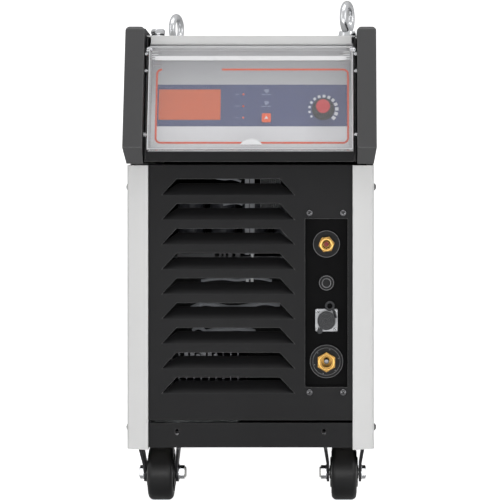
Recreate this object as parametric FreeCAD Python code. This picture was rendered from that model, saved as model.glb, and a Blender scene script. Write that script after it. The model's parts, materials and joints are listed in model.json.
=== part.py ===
import FreeCAD, Part
import math
import os

# Upright wheeled plasma cutting power source.
# Frame: X to the right seen from the front, Y to the rear, Z up, millimetres.
# The origin is on the floor, under the middle of the whole object.

Vector = FreeCAD.Vector
AXIS_X = Vector(1, 0, 0)
AXIS_Y = Vector(0, 1, 0)
AXIS_Z = Vector(0, 0, 1)

# ---- driving dimensions ----------------------------------------------------
SHEET = 1.5                 # sheet steel of the case
BODY_HALF = 165.0           # outer face of the side panels
FRONT_HALF = 136.0          # half width of the black front panel
FRONT_Y = -290.0            # outer face of the front panel
REAR_Y = 270.0              # outer face of the rear panel
TOP_Z = 633.6               # top of the cover
SIDE_LOW = 80.5             # lower edge of the side panels
SHOULDER_Z = 459.5          # where the side panels stop in front and the head starts
TRAY_Z = 102.0              # underside of the tray floor
TRAY_T = 2.0
LEAN = 14.5                 # lean of the lid and the control panel, degrees from vertical
FIT = 0.3                   # gap between parts that move on each other

# louvres
LOUVRE_COUNT = 9
LOUVRE_PITCH = 33.07
LOUVRE_TOP_Z = 419.2        # lower edge of the first louvre
LOUVRE_H = 22.0
LOUVRE_LEFT = -119.0
LOUVRE_RIGHT = 59.5
LOUVRE_SLANT = 20.5         # how far each end slants inwards over the height
LOUVRE_FOLD = 48.0          # how far the flap is folded inwards, degrees

# connector window and plate
WINDOW_X0 = 72.8
WINDOW_X1 = 129.6
WINDOW_Z0 = 163.7
WINDOW_Z1 = 388.1
PLATE_RECESS = 12.0
CONNECTOR_X = 101.3
TORCH_Z = 354.0
BUTTON_Z = 302.0
CONTROL_Z = 252.0
WORK_Z = 197.0

# head
HEAD_HALF = 139.0           # inner face of the head side plates
GUARD_IN = 142.4
GUARD_OUT = 168.0
GUARD_NOSE_Y = -320.0
LID_HALF = 136.5
LID_FOOT = Vector(0, -311.0, 481.0)      # lower front edge of the lid
LID_LENGTH = 142.0                       # along the slope
LID_T = 3.0
PANEL_SETBACK = 25.0        # from the lid face to the control panel face

# casters
CASTER_X = 125.0
SWIVEL_Y = -240.0           # swivel axis of the front casters
TRAIL = 25.0
REAR_CASTER_Y = 225.0
WHEEL_R = 37.5
WHEEL_HALF = 17.0
AXLE_R = 5.0
FORK_TOP = 91.0
FORK_T = 2.5
FORK_HALF = 23.5            # half width over the fork cheeks at the axle

# lifting
LIFT_X = 129.5
LIFT_FRONT_Y = -220.0
LIFT_REAR_Y = 90.0

# rear
FAN_Z = 230.0
FAN_R = 80.0
FAN_DEPTH = 38.0


# ---- helpers ---------------------------------------------------------------
def save(name, pieces):
    """Write one sub-part, as a single solid or as a group of separate solids."""
    solids = []
    for piece in pieces if isinstance(pieces, (list, tuple)) else [pieces]:
        solids.extend(piece.Solids)
    shape = solids[0] if len(solids) == 1 else Part.makeCompound(solids)
    shape.exportStep("parts/" + name + ".step")


def block(x0, x1, y0, y1, z0, z1):
    return Part.makeBox(x1 - x0, y1 - y0, z1 - z0, Vector(x0, y0, z0))


def rod(radius, start, end):
    return Part.makeCylinder(radius, (end - start).Length, start, end - start)


def rod_x(radius, x0, x1, y, z):
    return rod(radius, Vector(x0, y, z), Vector(x1, y, z))


def rod_y(radius, y0, y1, x, z):
    return rod(radius, Vector(x, y0, z), Vector(x, y1, z))


def rod_z(radius, z0, z1, x, y):
    return rod(radius, Vector(x, y, z0), Vector(x, y, z1))


def prism_x(outline, x0, x1):
    """Extrude a (y, z) outline along X."""
    points = [Vector(x0, y, z) for y, z in outline]
    return Part.Face(Part.makePolygon(points + points[:1])).extrude(Vector(x1 - x0, 0, 0))


def prism_y(outline, y0, y1):
    """Extrude an (x, z) outline along Y."""
    points = [Vector(x, y0, z) for x, z in outline]
    return Part.Face(Part.makePolygon(points + points[:1])).extrude(Vector(0, y1 - y0, 0))


def prism_z(outline, z0, z1):
    """Extrude an (x, y) outline along Z."""
    points = [Vector(x, y, z0) for x, y in outline]
    return Part.Face(Part.makePolygon(points + points[:1])).extrude(Vector(0, 0, z1 - z0))


def fuse(pieces):
    """Join the pieces of one sub-part into one clean solid."""
    return pieces[0].multiFuse(list(pieces[1:])).removeSplitter()


def mirrored(shape):
    """The same piece on the other side of the object."""
    return shape.mirror(Vector(0, 0, 0), AXIS_X)


def hexagon(flats, corner_angle=0.0):
    """Corners of a hexagon given its width across flats."""
    radius = flats / math.sqrt(3)
    angles = [math.radians(corner_angle + 60 * k) for k in range(6)]
    return [(radius * math.cos(a), radius * math.sin(a)) for a in angles]


def shifted(outline, a, b):
    return [(p + a, q + b) for p, q in outline]


def obround_y(width, height, x, z, y0, y1):
    """A vertical slot cutter through a wall that faces Y."""
    radius = width / 2
    reach = height / 2 - radius
    middle = block(x - radius, x + radius, y0, y1, z - reach, z + reach)
    ends = [rod_y(radius, y0, y1, x, z - reach), rod_y(radius, y0, y1, x, z + reach)]
    return fuse([middle] + ends)


def round_edges(shape, radius, chooser):
    """Round those edges of a shape that the chooser accepts."""
    edges = [edge for edge in shape.Edges if chooser(edge)]
    return shape.makeFillet(radius, edges)


def along(edge, axis):
    """True for a straight edge parallel to the axis."""
    if not isinstance(edge.Curve, (Part.Line, Part.LineSegment)):
        return False
    return abs(abs(edge.tangentAt(edge.FirstParameter).dot(axis)) - 1) < 0.001


def screw_head(radius, height, seat, out):
    """A pan head: a short cylinder with a rounded crown, seated at a point, facing out."""
    head = Part.makeCylinder(radius, height, seat, out)
    crown = [e for e in head.Edges if isinstance(e.Curve, Part.Circle)
             and (e.CenterOfMass - seat).dot(out) > height / 2]
    return head.makeFillet(height * 0.6, crown)


def sloped(shape):
    """Move a piece drawn upright at the origin onto the lid slope.

    Drawn along X, with Z up the slope and -Y out of it, from the lid's lower front edge.
    """
    placed = shape.copy()
    placed.rotate(Vector(0, 0, 0), AXIS_X, -LEAN)
    placed.translate(LID_FOOT)
    return placed


# ---- base ------------------------------------------------------------------
TRAY_FLOOR_Z = TRAY_Z + TRAY_T
TRAY_SIDE = BODY_HALF - SHEET            # the tray fits between the side panels
SKIRT_Z0 = 83.0
SKIRT_Z1 = 116.0
SKIRT_HOLE_Z = 104.0
BEND = 1.2                               # outer radius of the bent sheet edges
SIDE_SCREW_LOW = 107.0                   # the lower side screws also go through the tray flanges
SIDE_SCREW_HIGH = 430.0
SIDE_SCREW_YS = (-265, 0, 250)


def base_tray():
    """Folded floor with a front and a rear skirt and upturned side flanges."""
    floor = fuse([
        block(-TRAY_SIDE, TRAY_SIDE, -276, REAR_Y - TRAY_T, TRAY_Z, TRAY_FLOOR_Z),
        block(-134, 134, FRONT_Y, -276, TRAY_Z, TRAY_FLOOR_Z),
    ])
    front = block(-FRONT_HALF, FRONT_HALF, FRONT_Y, FRONT_Y + TRAY_T, SKIRT_Z0, SKIRT_Z1)
    rear = block(-TRAY_SIDE, TRAY_SIDE, REAR_Y - TRAY_T, REAR_Y, SKIRT_Z0, SKIRT_Z1)
    flanges = [block(x, x + TRAY_T, -270, REAR_Y - TRAY_T, TRAY_Z, 125)
               for x in (-TRAY_SIDE, TRAY_SIDE - TRAY_T)]
    tray = fuse([floor, front, rear] + flanges)
    tray = round_edges(tray, BEND, lambda e: along(e, AXIS_X) and abs(e.CenterOfMass.y - FRONT_Y) < 0.01)
    holes = [obround_y(5, 8, x, SKIRT_HOLE_Z, FRONT_Y - 1, FRONT_Y + TRAY_T + 1) for x in (-98, 98)]
    holes += [rod_x(2.6, min(x, x + 6 * side), max(x, x + 6 * side), y, SIDE_SCREW_LOW)
              for side, x in ((-1, -159), (1, 159)) for y in SIDE_SCREW_YS]
    return tray.cut(Part.makeCompound(holes))


def front_panel():
    """Black front with nine slots; each flap is folded inwards about its lower edge."""
    z0, z1 = SKIRT_Z1 + 3.2, 460.5
    inner = FRONT_Y + SHEET
    panel = fuse([
        block(-FRONT_HALF, FRONT_HALF, FRONT_Y, inner, z0, z1),
        block(-FRONT_HALF, -FRONT_HALF + SHEET, inner, inner + 10, z0, z1),
        block(FRONT_HALF - SHEET, FRONT_HALF, inner, inner + 10, z0, z1),
        block(-FRONT_HALF, FRONT_HALF, inner, inner + 12, z1 - SHEET, z1),
    ])
    panel = round_edges(panel, BEND, lambda e: abs(e.CenterOfMass.y - FRONT_Y) < 0.01)
    cuts = [block(WINDOW_X0, WINDOW_X1, FRONT_Y - 1, inner + 1, WINDOW_Z0, WINDOW_Z1)]
    cuts += [rod_y(2.6, FRONT_Y - 1, inner + 1, x, z) for x, z in PLATE_SCREWS]
    flaps = []
    for k in range(LOUVRE_COUNT):
        low = LOUVRE_TOP_Z - k * LOUVRE_PITCH
        outline = [(LOUVRE_LEFT, low), (LOUVRE_RIGHT, low),
                   (LOUVRE_RIGHT - LOUVRE_SLANT, low + LOUVRE_H),
                   (LOUVRE_LEFT + LOUVRE_SLANT, low + LOUVRE_H)]
        cuts.append(prism_y(outline, FRONT_Y - 1, inner + 1))
        flap = prism_y(outline, FRONT_Y, inner)
        flap.rotate(Vector(0, inner, low), AXIS_X, -LOUVRE_FOLD)
        flaps.append(flap)
        flaps.append(rod_x(SHEET, LOUVRE_LEFT, LOUVRE_RIGHT, inner, low))
    return fuse([panel.cut(Part.makeCompound(cuts))] + flaps)


PLATE_SCREWS = [(x, z) for x in (78.8, 123.6) for z in (156.7, 395.9)]
RECESS_Y = FRONT_Y + PLATE_RECESS        # face of the recessed connector plate


def connector_plate():
    """Shallow pressed dish that carries the sockets behind the window."""
    back = FRONT_Y + SHEET
    dish = fuse([
        block(68, 134, back, back + SHEET, 147, 405),
        block(WINDOW_X0 - SHEET, WINDOW_X1 + SHEET, back, RECESS_Y + SHEET,
              WINDOW_Z0 - SHEET, WINDOW_Z1 + SHEET),
    ])
    inside = block(WINDOW_X0, WINDOW_X1, back - 1, RECESS_Y, WINDOW_Z0, WINDOW_Z1)
    holes = [rod_y(radius, RECESS_Y - 1, RECESS_Y + 3, CONNECTOR_X, z)
             for radius, z in ((13, TORCH_Z), (8, BUTTON_Z), (9, CONTROL_Z), (15, WORK_Z))]
    holes += [rod_y(2.6, back - 1, back + 3, x, z) for x, z in PLATE_SCREWS]
    return dish.cut(Part.makeCompound([inside] + holes))


def side_panel(side):
    """Side sheet with the bevelled front strip; cut back behind the guard above the shoulder."""
    outer = BODY_HALF
    strip = [(FRONT_HALF + FIT, -280), (FRONT_HALF + FIT, -294), (outer - 3, -286), (outer, -283),
             (outer, REAR_Y), (outer - SHEET, REAR_Y), (outer - SHEET, -282),
             (outer - 3.4, -284.2), (FRONT_HALF + FIT + SHEET, -291.4), (FRONT_HALF + FIT + SHEET, -280)]
    sheet = prism_z(strip, SIDE_LOW, TOP_Z)
    rear_of_guard = [(-340, SHOULDER_Z), (guard_rear(SHOULDER_Z) + 2, SHOULDER_Z),
                     (guard_rear(TOP_Z) + 2, TOP_Z + 1), (-340, TOP_Z + 1)]
    sheet = sheet.cut(prism_x(rear_of_guard, 100, 200))
    sheet = sheet.cut(block(outer - SHEET - 1, outer + 1, -200, REAR_Y + 1, TOP_Z - 12, TOP_Z + 1))
    holes = [rod_x(2.6, outer - 4, outer + 1, y, z) for y, z in SIDE_SCREWS]
    sheet = sheet.cut(Part.makeCompound(holes))
    return sheet if side > 0 else mirrored(sheet)


def guard_rear(z):
    """Y of the guard's rear edge at a height."""
    return -245 + (z - 461.7) * math.tan(math.radians(LEAN))


SIDE_SCREWS = [(y, z) for y in SIDE_SCREW_YS for z in (SIDE_SCREW_LOW, SIDE_SCREW_HIGH)]


def rear_panel():
    """Rear sheet with rows of air slots in front of the fan and cut-outs for the fittings."""
    panel = block(-TRAY_SIDE, TRAY_SIDE, REAR_Y - SHEET, REAR_Y, SKIRT_Z1 + 1, TOP_Z - SHEET)
    slots = []
    for row in range(-3, 4):
        half = math.sqrt(FAN_R ** 2 - (row * 20) ** 2)
        for column in range(-4, 5):
            if abs(column * 16) + 5 < half:
                slots.append(obround_y(9, 15, column * 16, FAN_Z + row * 20, REAR_Y - 3, REAR_Y + 1))
    slots.append(rod_y(11, REAR_Y - 3, REAR_Y + 1, GLAND_X, GLAND_Z))
    slots.append(rod_y(12, REAR_Y - 3, REAR_Y + 1, SWITCH_X, SWITCH_Z))
    slots.append(rod_y(6, REAR_Y - 3, REAR_Y + 1, REGULATOR_X, REGULATOR_Z))
    return panel.cut(Part.makeCompound(slots))


GLAND_X, GLAND_Z = 95.0, 400.0
SWITCH_X, SWITCH_Z = 95.0, 520.0
REGULATOR_X, REGULATOR_Z = -95.0, 500.0


def top_cover():
    """Cover with down-turned edges, notched at the front corners for the guards."""
    neck = HEAD_HALF + SHEET                 # the cover is this wide between the guards
    outline = [(-neck, -265), (neck, -265), (neck, -198), (BODY_HALF, -198), (BODY_HALF, REAR_Y),
               (-BODY_HALF, REAR_Y), (-BODY_HALF, -198), (-neck, -198)]
    low, high = TOP_Z - 12, TOP_Z - SHEET
    cover = fuse([
        prism_z(outline, high, TOP_Z),
        block(-135, 135, -265, -265 + SHEET, low, high),
        block(-BODY_HALF, -BODY_HALF + SHEET, -198, REAR_Y, low, high),
        block(BODY_HALF - SHEET, BODY_HALF, -198, REAR_Y, low, high),
    ])
    holes = [rod_z(5.5, high - 2, TOP_Z + 1, x, y) for x, y in LIFT_PLACES]
    return cover.cut(Part.makeCompound(holes))


LIFT_PLACES = [(x, y) for x in (-LIFT_X, LIFT_X) for y in (LIFT_FRONT_Y, LIFT_REAR_Y)]


def lifting_bars():
    """Two cross bars under the cover, threaded for the lifting bolts."""
    top = TOP_Z - SHEET
    bars = [block(-138, 138, y - 10, y + 10, top - 20, top) for y in (LIFT_FRONT_Y, LIFT_REAR_Y)]
    holes = Part.makeCompound([rod_z(5, top - 21, top + 1, x, y) for x, y in LIFT_PLACES])
    return [bar.cut(holes) for bar in bars]


EYE_TURN = 73.0             # how far the rings are turned away from facing the front
EYE_CENTRE = 26.5           # ring centre above the cover


def eye_bolts():
    """Two forged eye bolts, screwed through the cover into the bars."""
    bolts = []
    for x, y in ((LIFT_X, LIFT_FRONT_Y), (-LIFT_X, LIFT_REAR_Y)):
        ring = Part.makeTorus(18.2, 5.3, Vector(0, 0, 0), AXIS_Y)
        ring.rotate(Vector(0, 0, 0), AXIS_Z, EYE_TURN)
        ring.translate(Vector(x, y, TOP_Z + EYE_CENTRE))
        collar = Part.makeCone(12.5, 11, 8, Vector(x, y, TOP_Z))
        shank = rod_z(5, TOP_Z - 20, TOP_Z, x, y)
        bolts.append(fuse([ring, collar, shank]))
    return bolts


WASHER_Z = TOP_Z + 2.0


def lifting_washers():
    """Flat washers under the two plain bolts."""
    rings = []
    for x, y in ((-LIFT_X, LIFT_FRONT_Y), (LIFT_X, LIFT_REAR_Y)):
        rings.append(rod_z(11, TOP_Z, WASHER_Z, x, y).cut(rod_z(5.25, TOP_Z - 1, WASHER_Z + 1, x, y)))
    return rings


def lifting_bolts():
    """Hex bolts with spring washers that close the other two lifting places."""
    bolts = []
    for x, y in ((-LIFT_X, LIFT_FRONT_Y), (LIFT_X, LIFT_REAR_Y)):
        head = prism_z(shifted(hexagon(17, 12), x, y), WASHER_Z + 2.5, WASHER_Z + 9)
        head = head.common(Part.makeSphere(11.5, Vector(x, y, WASHER_Z + 0.5)))
        spring = rod_z(9, WASHER_Z, WASHER_Z + 2.5, x, y)
        bolts.append(fuse([head, spring, rod_z(5, TOP_Z - 18, WASHER_Z, x, y)]))
    return bolts


# ---- front fittings ----------------------------------------------------------
def torch_flange():
    """Insulating flange of the torch connector."""
    flange = rod_y(18, RECESS_Y - 3.5, RECESS_Y, CONNECTOR_X, TORCH_Z)
    neck = rod_y(12.7, RECESS_Y, RECESS_Y + 12, CONNECTOR_X, TORCH_Z)
    return fuse([flange, neck]).cut(rod_y(9.3, RECESS_Y - 5, RECESS_Y + 13, CONNECTOR_X, TORCH_Z))


def hex_body(flats, corner_angle, x, z, y0, y1):
    return prism_y(shifted(hexagon(flats, corner_angle), x, z), y0, y1)


def torch_socket():
    """Brass body with a hexagon outside the flange and a stepped bore."""
    front = RECESS_Y - 3.5
    body = fuse([
        hex_body(19, 8, CONNECTOR_X, TORCH_Z, front - 9, front),
        rod_y(9, front, RECESS_Y + 34, CONNECTOR_X, TORCH_Z),
    ])
    bore = fuse([rod_y(5.5, front - 10, front + 3, CONNECTOR_X, TORCH_Z),
                 rod_y(2.9, front + 2, RECESS_Y + 35, CONNECTOR_X, TORCH_Z)])
    return body.cut(bore)


def work_flange():
    """Insulating flange of the lower bayonet socket, with its raised inner ring."""
    flange = rod_y(22.3, RECESS_Y - 4, RECESS_Y, CONNECTOR_X, WORK_Z)
    ring = rod_y(18.5, RECESS_Y - 5.5, RECESS_Y - 4, CONNECTOR_X, WORK_Z)
    neck = rod_y(14.7, RECESS_Y, RECESS_Y + 14, CONNECTOR_X, WORK_Z)
    flange = fuse([flange, ring, neck])
    return flange.cut(rod_y(11.3, RECESS_Y - 7, RECESS_Y + 15, CONNECTOR_X, WORK_Z))


def work_socket():
    """Brass body with a bayonet notch at the top of its blind bore."""
    front = RECESS_Y - 5.5
    body = fuse([
        hex_body(23, 30, CONNECTOR_X, WORK_Z, front - 8, front),
        rod_y(11, front, RECESS_Y + 38, CONNECTOR_X, WORK_Z),
    ])
    bore = rod_y(7.15, front - 9, RECESS_Y + 8, CONNECTOR_X, WORK_Z)
    notch = block(CONNECTOR_X - 2, CONNECTOR_X + 2, front - 9, RECESS_Y + 4, WORK_Z, WORK_Z + 8.6)
    return body.cut(bore).cut(notch)


BUTTON_TRAVEL = 3.0


def push_button_bezel():
    ring = rod_y(10.6, RECESS_Y - 4, RECESS_Y, CONNECTOR_X, BUTTON_Z)
    ring = round_edges(ring, 1.5, lambda e: e.CenterOfMass.y < RECESS_Y - 3.9)
    neck = rod_y(7.9, RECESS_Y, RECESS_Y + 16, CONNECTOR_X, BUTTON_Z)
    nut = hex_body(20, 0, CONNECTOR_X, BUTTON_Z, RECESS_Y + SHEET, RECESS_Y + SHEET + 4)
    hole = rod_y(7.0, RECESS_Y - 5, RECESS_Y + 17, CONNECTOR_X, BUTTON_Z)
    return fuse([ring, neck, nut]).cut(hole)


def push_button():
    """Round button that springs back; it has room to travel inwards."""
    cap = rod_y(7.0 - FIT, RECESS_Y - 5.5, RECESS_Y + 10, CONNECTOR_X, BUTTON_Z)
    return round_edges(cap, 1.0, lambda e: e.CenterOfMass.y < RECESS_Y - 5.4)


SOCKET_HALF = 15.0
CAP_R = 12.0


def control_socket():
    """Square metal flange, round shell and the insulated contact block of the control socket."""
    flange = block(CONNECTOR_X - SOCKET_HALF, CONNECTOR_X + SOCKET_HALF, RECESS_Y - 3, RECESS_Y,
                   CONTROL_Z - SOCKET_HALF, CONTROL_Z + SOCKET_HALF)
    flange = round_edges(flange, 2, lambda e: along(e, AXIS_Y))
    shell = rod_y(8.8, RECESS_Y - 12, RECESS_Y + 22, CONNECTOR_X, CONTROL_Z)
    hollow = rod_y(7.3, RECESS_Y - 13, RECESS_Y - 2, CONNECTOR_X, CONTROL_Z)
    pins = []
    for k in range(5):
        angle = math.radians(90 + 72 * k)
        x = CONNECTOR_X + 4 * math.cos(angle)
        z = CONTROL_Z + 4 * math.sin(angle)
        pins.append(rod_y(0.8, RECESS_Y - 7, RECESS_Y, x, z))
    return fuse([flange, shell.cut(hollow)] + pins)


def socket_screws():
    """Four small pan heads at the corners of the control socket flange."""
    heads = []
    for side in (-1, 1):
        for level in (-1, 1):
            seat = Vector(CONNECTOR_X + side * 12, RECESS_Y - 3, CONTROL_Z + level * 12)
            heads.append(screw_head(2.4, 1.6, seat, -AXIS_Y))
    return heads


def socket_cap():
    """Rubber dust cap: ribbed face, skirt over the shell and a pull tab at the lower left."""
    front = RECESS_Y - 16
    cap = rod_y(CAP_R, front, RECESS_Y - 5, CONNECTOR_X, CONTROL_Z)
    for radius in (10, 8, 6, 4, 2):
        groove = Part.makeTorus(radius, 0.35, Vector(CONNECTOR_X, front, CONTROL_Z), AXIS_Y)
        cap = cap.cut(groove)
    tab = rod_y(3.5, front + 1, front + 3.5, CONNECTOR_X - 8.8, CONTROL_Z - 13.5)
    neck = block(-2, 2, front + 1, front + 3.5, -14, 0)
    neck.rotate(Vector(0, 0, 0), AXIS_Y, 33)
    neck.translate(Vector(CONNECTOR_X, 0, CONTROL_Z))
    hollow = rod_y(8.8 + FIT, front + 2.5, RECESS_Y - 4, CONNECTOR_X, CONTROL_Z)
    return fuse([cap, tab, neck]).cut(hollow)


# ---- head --------------------------------------------------------------------
def head_side(side):
    """Dark side plate of the head, leaning with the lid in front."""
    outline = [(-303, 465), (-278, 463), (-150, 463), (-150, TOP_Z - SHEET),
               (-263.4, TOP_Z - SHEET), (-268, TOP_Z - 10)]
    plate = prism_x(outline, HEAD_HALF, HEAD_HALF + SHEET)
    hinge_y, hinge_z = HINGE.y, HINGE.z
    plate = plate.cut(rod_x(3, HEAD_HALF - 1, HEAD_HALF + 3, hinge_y, hinge_z))
    return plate if side > 0 else mirrored(plate)


HINGE_UP = 139.0                          # hinge axis above the lid foot, along the slope
HINGE_IN = 7.0                            # and behind the lid face
HINGE = LID_FOOT + Vector(0,
                          HINGE_UP * math.sin(math.radians(LEAN)) + HINGE_IN * math.cos(math.radians(LEAN)),
                          HINGE_UP * math.cos(math.radians(LEAN)) - HINGE_IN * math.sin(math.radians(LEAN)))
HINGE_PIN_R = 2.5


def hinge_pins():
    """Two shouldered pins fixed in the head side plates; the lid turns on them."""
    pins = []
    for side in (-1, 1):
        shoulder = sorted((side * (HEAD_HALF - 7), side * (HEAD_HALF + SHEET)))
        pin = rod_x(HINGE_PIN_R, shoulder[0], shoulder[1], HINGE.y, HINGE.z)
        collar = sorted((side * (HEAD_HALF - 1.5), side * HEAD_HALF))
        washer = rod_x(4.5, collar[0], collar[1], HINGE.y, HINGE.z)
        pins.append(fuse([pin, washer]))
    return pins


GRIP_X = 1.8                              # half-moon thumb grip near the foot of the lid
GRIP_R = 17.0
GRIP_UP = 5.6
GRIP_TOP = 14.6
GRIP_PROUD = 2.2


def lid():
    """Clear hinged cover with a half-moon thumb grip, ribbed ends and two hinge ears."""
    half = LID_HALF
    sheet = block(-half, half, 0, LID_T, 0, LID_LENGTH)
    moon = rod_y(GRIP_R, -GRIP_PROUD, 0, GRIP_X, GRIP_TOP - GRIP_R)
    moon = moon.common(block(-half, half, -GRIP_PROUD - 1, 1, GRIP_UP, GRIP_TOP + 1))
    moon = round_edges(moon, 0.8, lambda e: abs(e.CenterOfMass.y + GRIP_PROUD) < 0.01)
    lip = block(-half, half, LID_T, 7, 0, 2)
    pieces = [sheet, moon, lip]
    for side in (-1, 1):
        ends = sorted((side * (half - 4), side * half))
        pieces.append(block(ends[0], ends[1], LID_T, HINGE_IN + 5, HINGE_UP - 12, LID_LENGTH))
        pieces.append(block(ends[0], ends[1], LID_T, 7, 0, LID_LENGTH))
        rib = sorted((side * (half - 17), side * (half - 4)))
        for k in range(4):
            low = LID_LENGTH - 26 + 5 * k
            pieces.append(block(rib[0], rib[1], LID_T, LID_T + 1.5, low, low + 2))
    body = fuse(pieces)
    body = body.cut(rod_x(HINGE_PIN_R + 0.08, -half - 1, -half + 5, HINGE_IN, HINGE_UP))
    body = body.cut(rod_x(HINGE_PIN_R + 0.08, half - 5, half + 1, HINGE_IN, HINGE_UP))
    return sloped(body)


PANEL_HALF = 137.5
PANEL_UP0 = -8.0                         # control panel, along the slope from the lid foot
PANEL_UP1 = 154.0


def head_sill():
    """Black strip under the lid that carries the control panel."""
    front = block(-138.5, 138.5, -302, -302 + SHEET, 466, 478)
    shelf = block(-138.5, 138.5, -302, -262, 464.5, 466)
    return fuse([front, shelf])


def control_panel():
    """Leaning sheet behind the lid with holes for the knob shaft and the mode button."""
    back = PANEL_SETBACK
    sheet = block(-PANEL_HALF, PANEL_HALF, back, back + SHEET, PANEL_UP0, PANEL_UP1)
    fold = block(-PANEL_HALF, PANEL_HALF, back, back + 12, PANEL_UP1 - SHEET, PANEL_UP1)
    panel = fuse([sheet, fold])
    panel = panel.cut(rod_y(4, back - 1, back + 3, KNOB_X, KNOB_UP))
    panel = panel.cut(block(MODE_X - 6.5, MODE_X + 6.5, back - 1, back + 3, MODE_UP - 6.5, MODE_UP + 6.5))
    return sloped(panel)


KNOB_X, KNOB_UP = 96.7, 61.0
MODE_X, MODE_UP = 20.7, 49.0
FILM_T = 0.6
FILM_UP0, FILM_UP1 = 8.0, 128.8


def control_film():
    """Printed film on the control panel."""
    face = PANEL_SETBACK - FILM_T
    film = block(-134, 134, face, PANEL_SETBACK, FILM_UP0, FILM_UP1)
    film = film.cut(rod_y(4, face - 1, face + 2, KNOB_X, KNOB_UP))
    film = film.cut(block(MODE_X - 6.5, MODE_X + 6.5, face - 1, face + 2, MODE_UP - 6.5, MODE_UP + 6.5))
    return sloped(film)


DISPLAY_X0, DISPLAY_X1 = -124.0, -41.0
DISPLAY_UP0, DISPLAY_UP1 = 46.5, 88.5


def display_window():
    """Tinted window of the current display, lying on the film."""
    face = PANEL_SETBACK - FILM_T
    return sloped(block(DISPLAY_X0, DISPLAY_X1, face - 0.8, face, DISPLAY_UP0, DISPLAY_UP1))


def mode_button():
    """Square push key that springs back."""
    half = 6.0
    key = block(MODE_X - half, MODE_X + half, PANEL_SETBACK - 3, PANEL_SETBACK + 4,
                MODE_UP - half, MODE_UP + half)
    return sloped(round_edges(key, 1.5, lambda e: along(e, AXIS_Y)))


def dial_knob():
    """Turning knob: wide skirt, narrower grip and the shaft that reaches the potentiometer."""
    face = PANEL_SETBACK - FILM_T - 0.5
    skirt = rod_y(15, face - 6, face, KNOB_X, KNOB_UP)
    grip = Part.makeCone(10.5, 9.5, 12, Vector(KNOB_X, face - 6, KNOB_UP), -AXIS_Y)
    grip = round_edges(grip, 1.0, lambda e: e.CenterOfMass.y < face - 17.9)
    shaft = rod_y(3, face, PANEL_SETBACK + 8, KNOB_X, KNOB_UP)
    return sloped(fuse([skirt, grip, shaft]))


def potentiometer():
    back = PANEL_SETBACK + SHEET
    can = rod_y(12, back, back + 11, KNOB_X, KNOB_UP)
    return sloped(can.cut(rod_y(3 + FIT, back - 1, back + 8, KNOB_X, KNOB_UP)))


def control_board():
    """Board behind the panel on four posts."""
    back = PANEL_SETBACK + SHEET
    board = block(-120, 75, back + 12, back + 13.6, 20, 110)
    posts = [rod_y(3, back, back + 12, x, up) for x in (-110, 65) for up in (28, 102)]
    chips = [block(x, x + 16, back + 13.6, back + 17, 50, 66) for x in (-90, -50, -10, 30)]
    return sloped(fuse([board] + posts + chips))


GUARD_SCREW = (-250.0, 607.0)


def guard(side):
    """Thick plastic corner guard with a pointed nose and a cut-back lower facet."""
    low_rear = guard_rear(461.7)
    top_rear = guard_rear(640)
    outline = [(GUARD_NOSE_Y, 483.5), (-300, 461.7), (low_rear, 461.7), (top_rear, 640),
               (-270, 645.4), (-278, 645.4)]
    body = prism_x(outline, GUARD_IN, GUARD_OUT)
    taper = prism_y([(GUARD_OUT, 483.5), (GUARD_OUT - 3.6, 461.7), (GUARD_OUT - 3.6, 460),
                     (GUARD_OUT + 1, 460), (GUARD_OUT + 1, 483.5)], -330, -200)
    recess = rod_x(6.5, GUARD_OUT - 3.5, GUARD_OUT + 1, *GUARD_SCREW)
    hole = rod_x(2.6, GUARD_IN - 1, GUARD_OUT + 1, *GUARD_SCREW)
    body = body.cut(Part.makeCompound([taper, recess, hole]))
    body = round_edges(body, 6, lambda e: (along(e, AXIS_X) and e.CenterOfMass.z > 600)
                       or abs(e.CenterOfMass.z - 645.4) < 0.1 and along(e, AXIS_Y))
    return body if side > 0 else mirrored(body)


def case_screws():
    """The pan head screws of the case: connector plate, side panels and guards."""
    screws = []
    for x, z in PLATE_SCREWS:
        head = screw_head(4.8, 2.8, Vector(x, FRONT_Y, z), -AXIS_Y)
        screws.append(fuse([head, rod_y(2.4, FRONT_Y, FRONT_Y + 10, x, z)]))
    for side in (-1, 1):
        out = AXIS_X * side
        for y, z in SIDE_SCREWS:
            seat = Vector(side * BODY_HALF, y, z)
            screws.append(fuse([screw_head(4.8, 2.8, seat, out), rod(2.4, seat - out * 8, seat)]))
        seat = Vector(side * (GUARD_OUT - 3.5), *GUARD_SCREW)
        shank = rod(2.4, Vector(side * (HEAD_HALF + SHEET), *GUARD_SCREW), seat)
        screws.append(fuse([screw_head(4.8, 2.8, seat, out), shank]))
    return screws


# ---- casters -------------------------------------------------------------------
KING_R = 6.0
RACE_Z = FORK_TOP + FIT


def caster_plates():
    """Mounting plates of the front casters, each with its ball race and king pin."""
    plates = []
    for x in (-CASTER_X, CASTER_X):
        plates.append(fuse([
            block(x - 34, x + 34, SWIVEL_Y - 34, SWIVEL_Y + 34, TRAY_Z - 3, TRAY_Z),
            rod_z(22, RACE_Z, TRAY_Z - 3, x, SWIVEL_Y),
            rod_z(KING_R, FORK_TOP - 6, RACE_Z, x, SWIVEL_Y),
            rod_z(10, FORK_TOP - 9, FORK_TOP - FORK_T - FIT, x, SWIVEL_Y),
        ]))
    return plates


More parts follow.
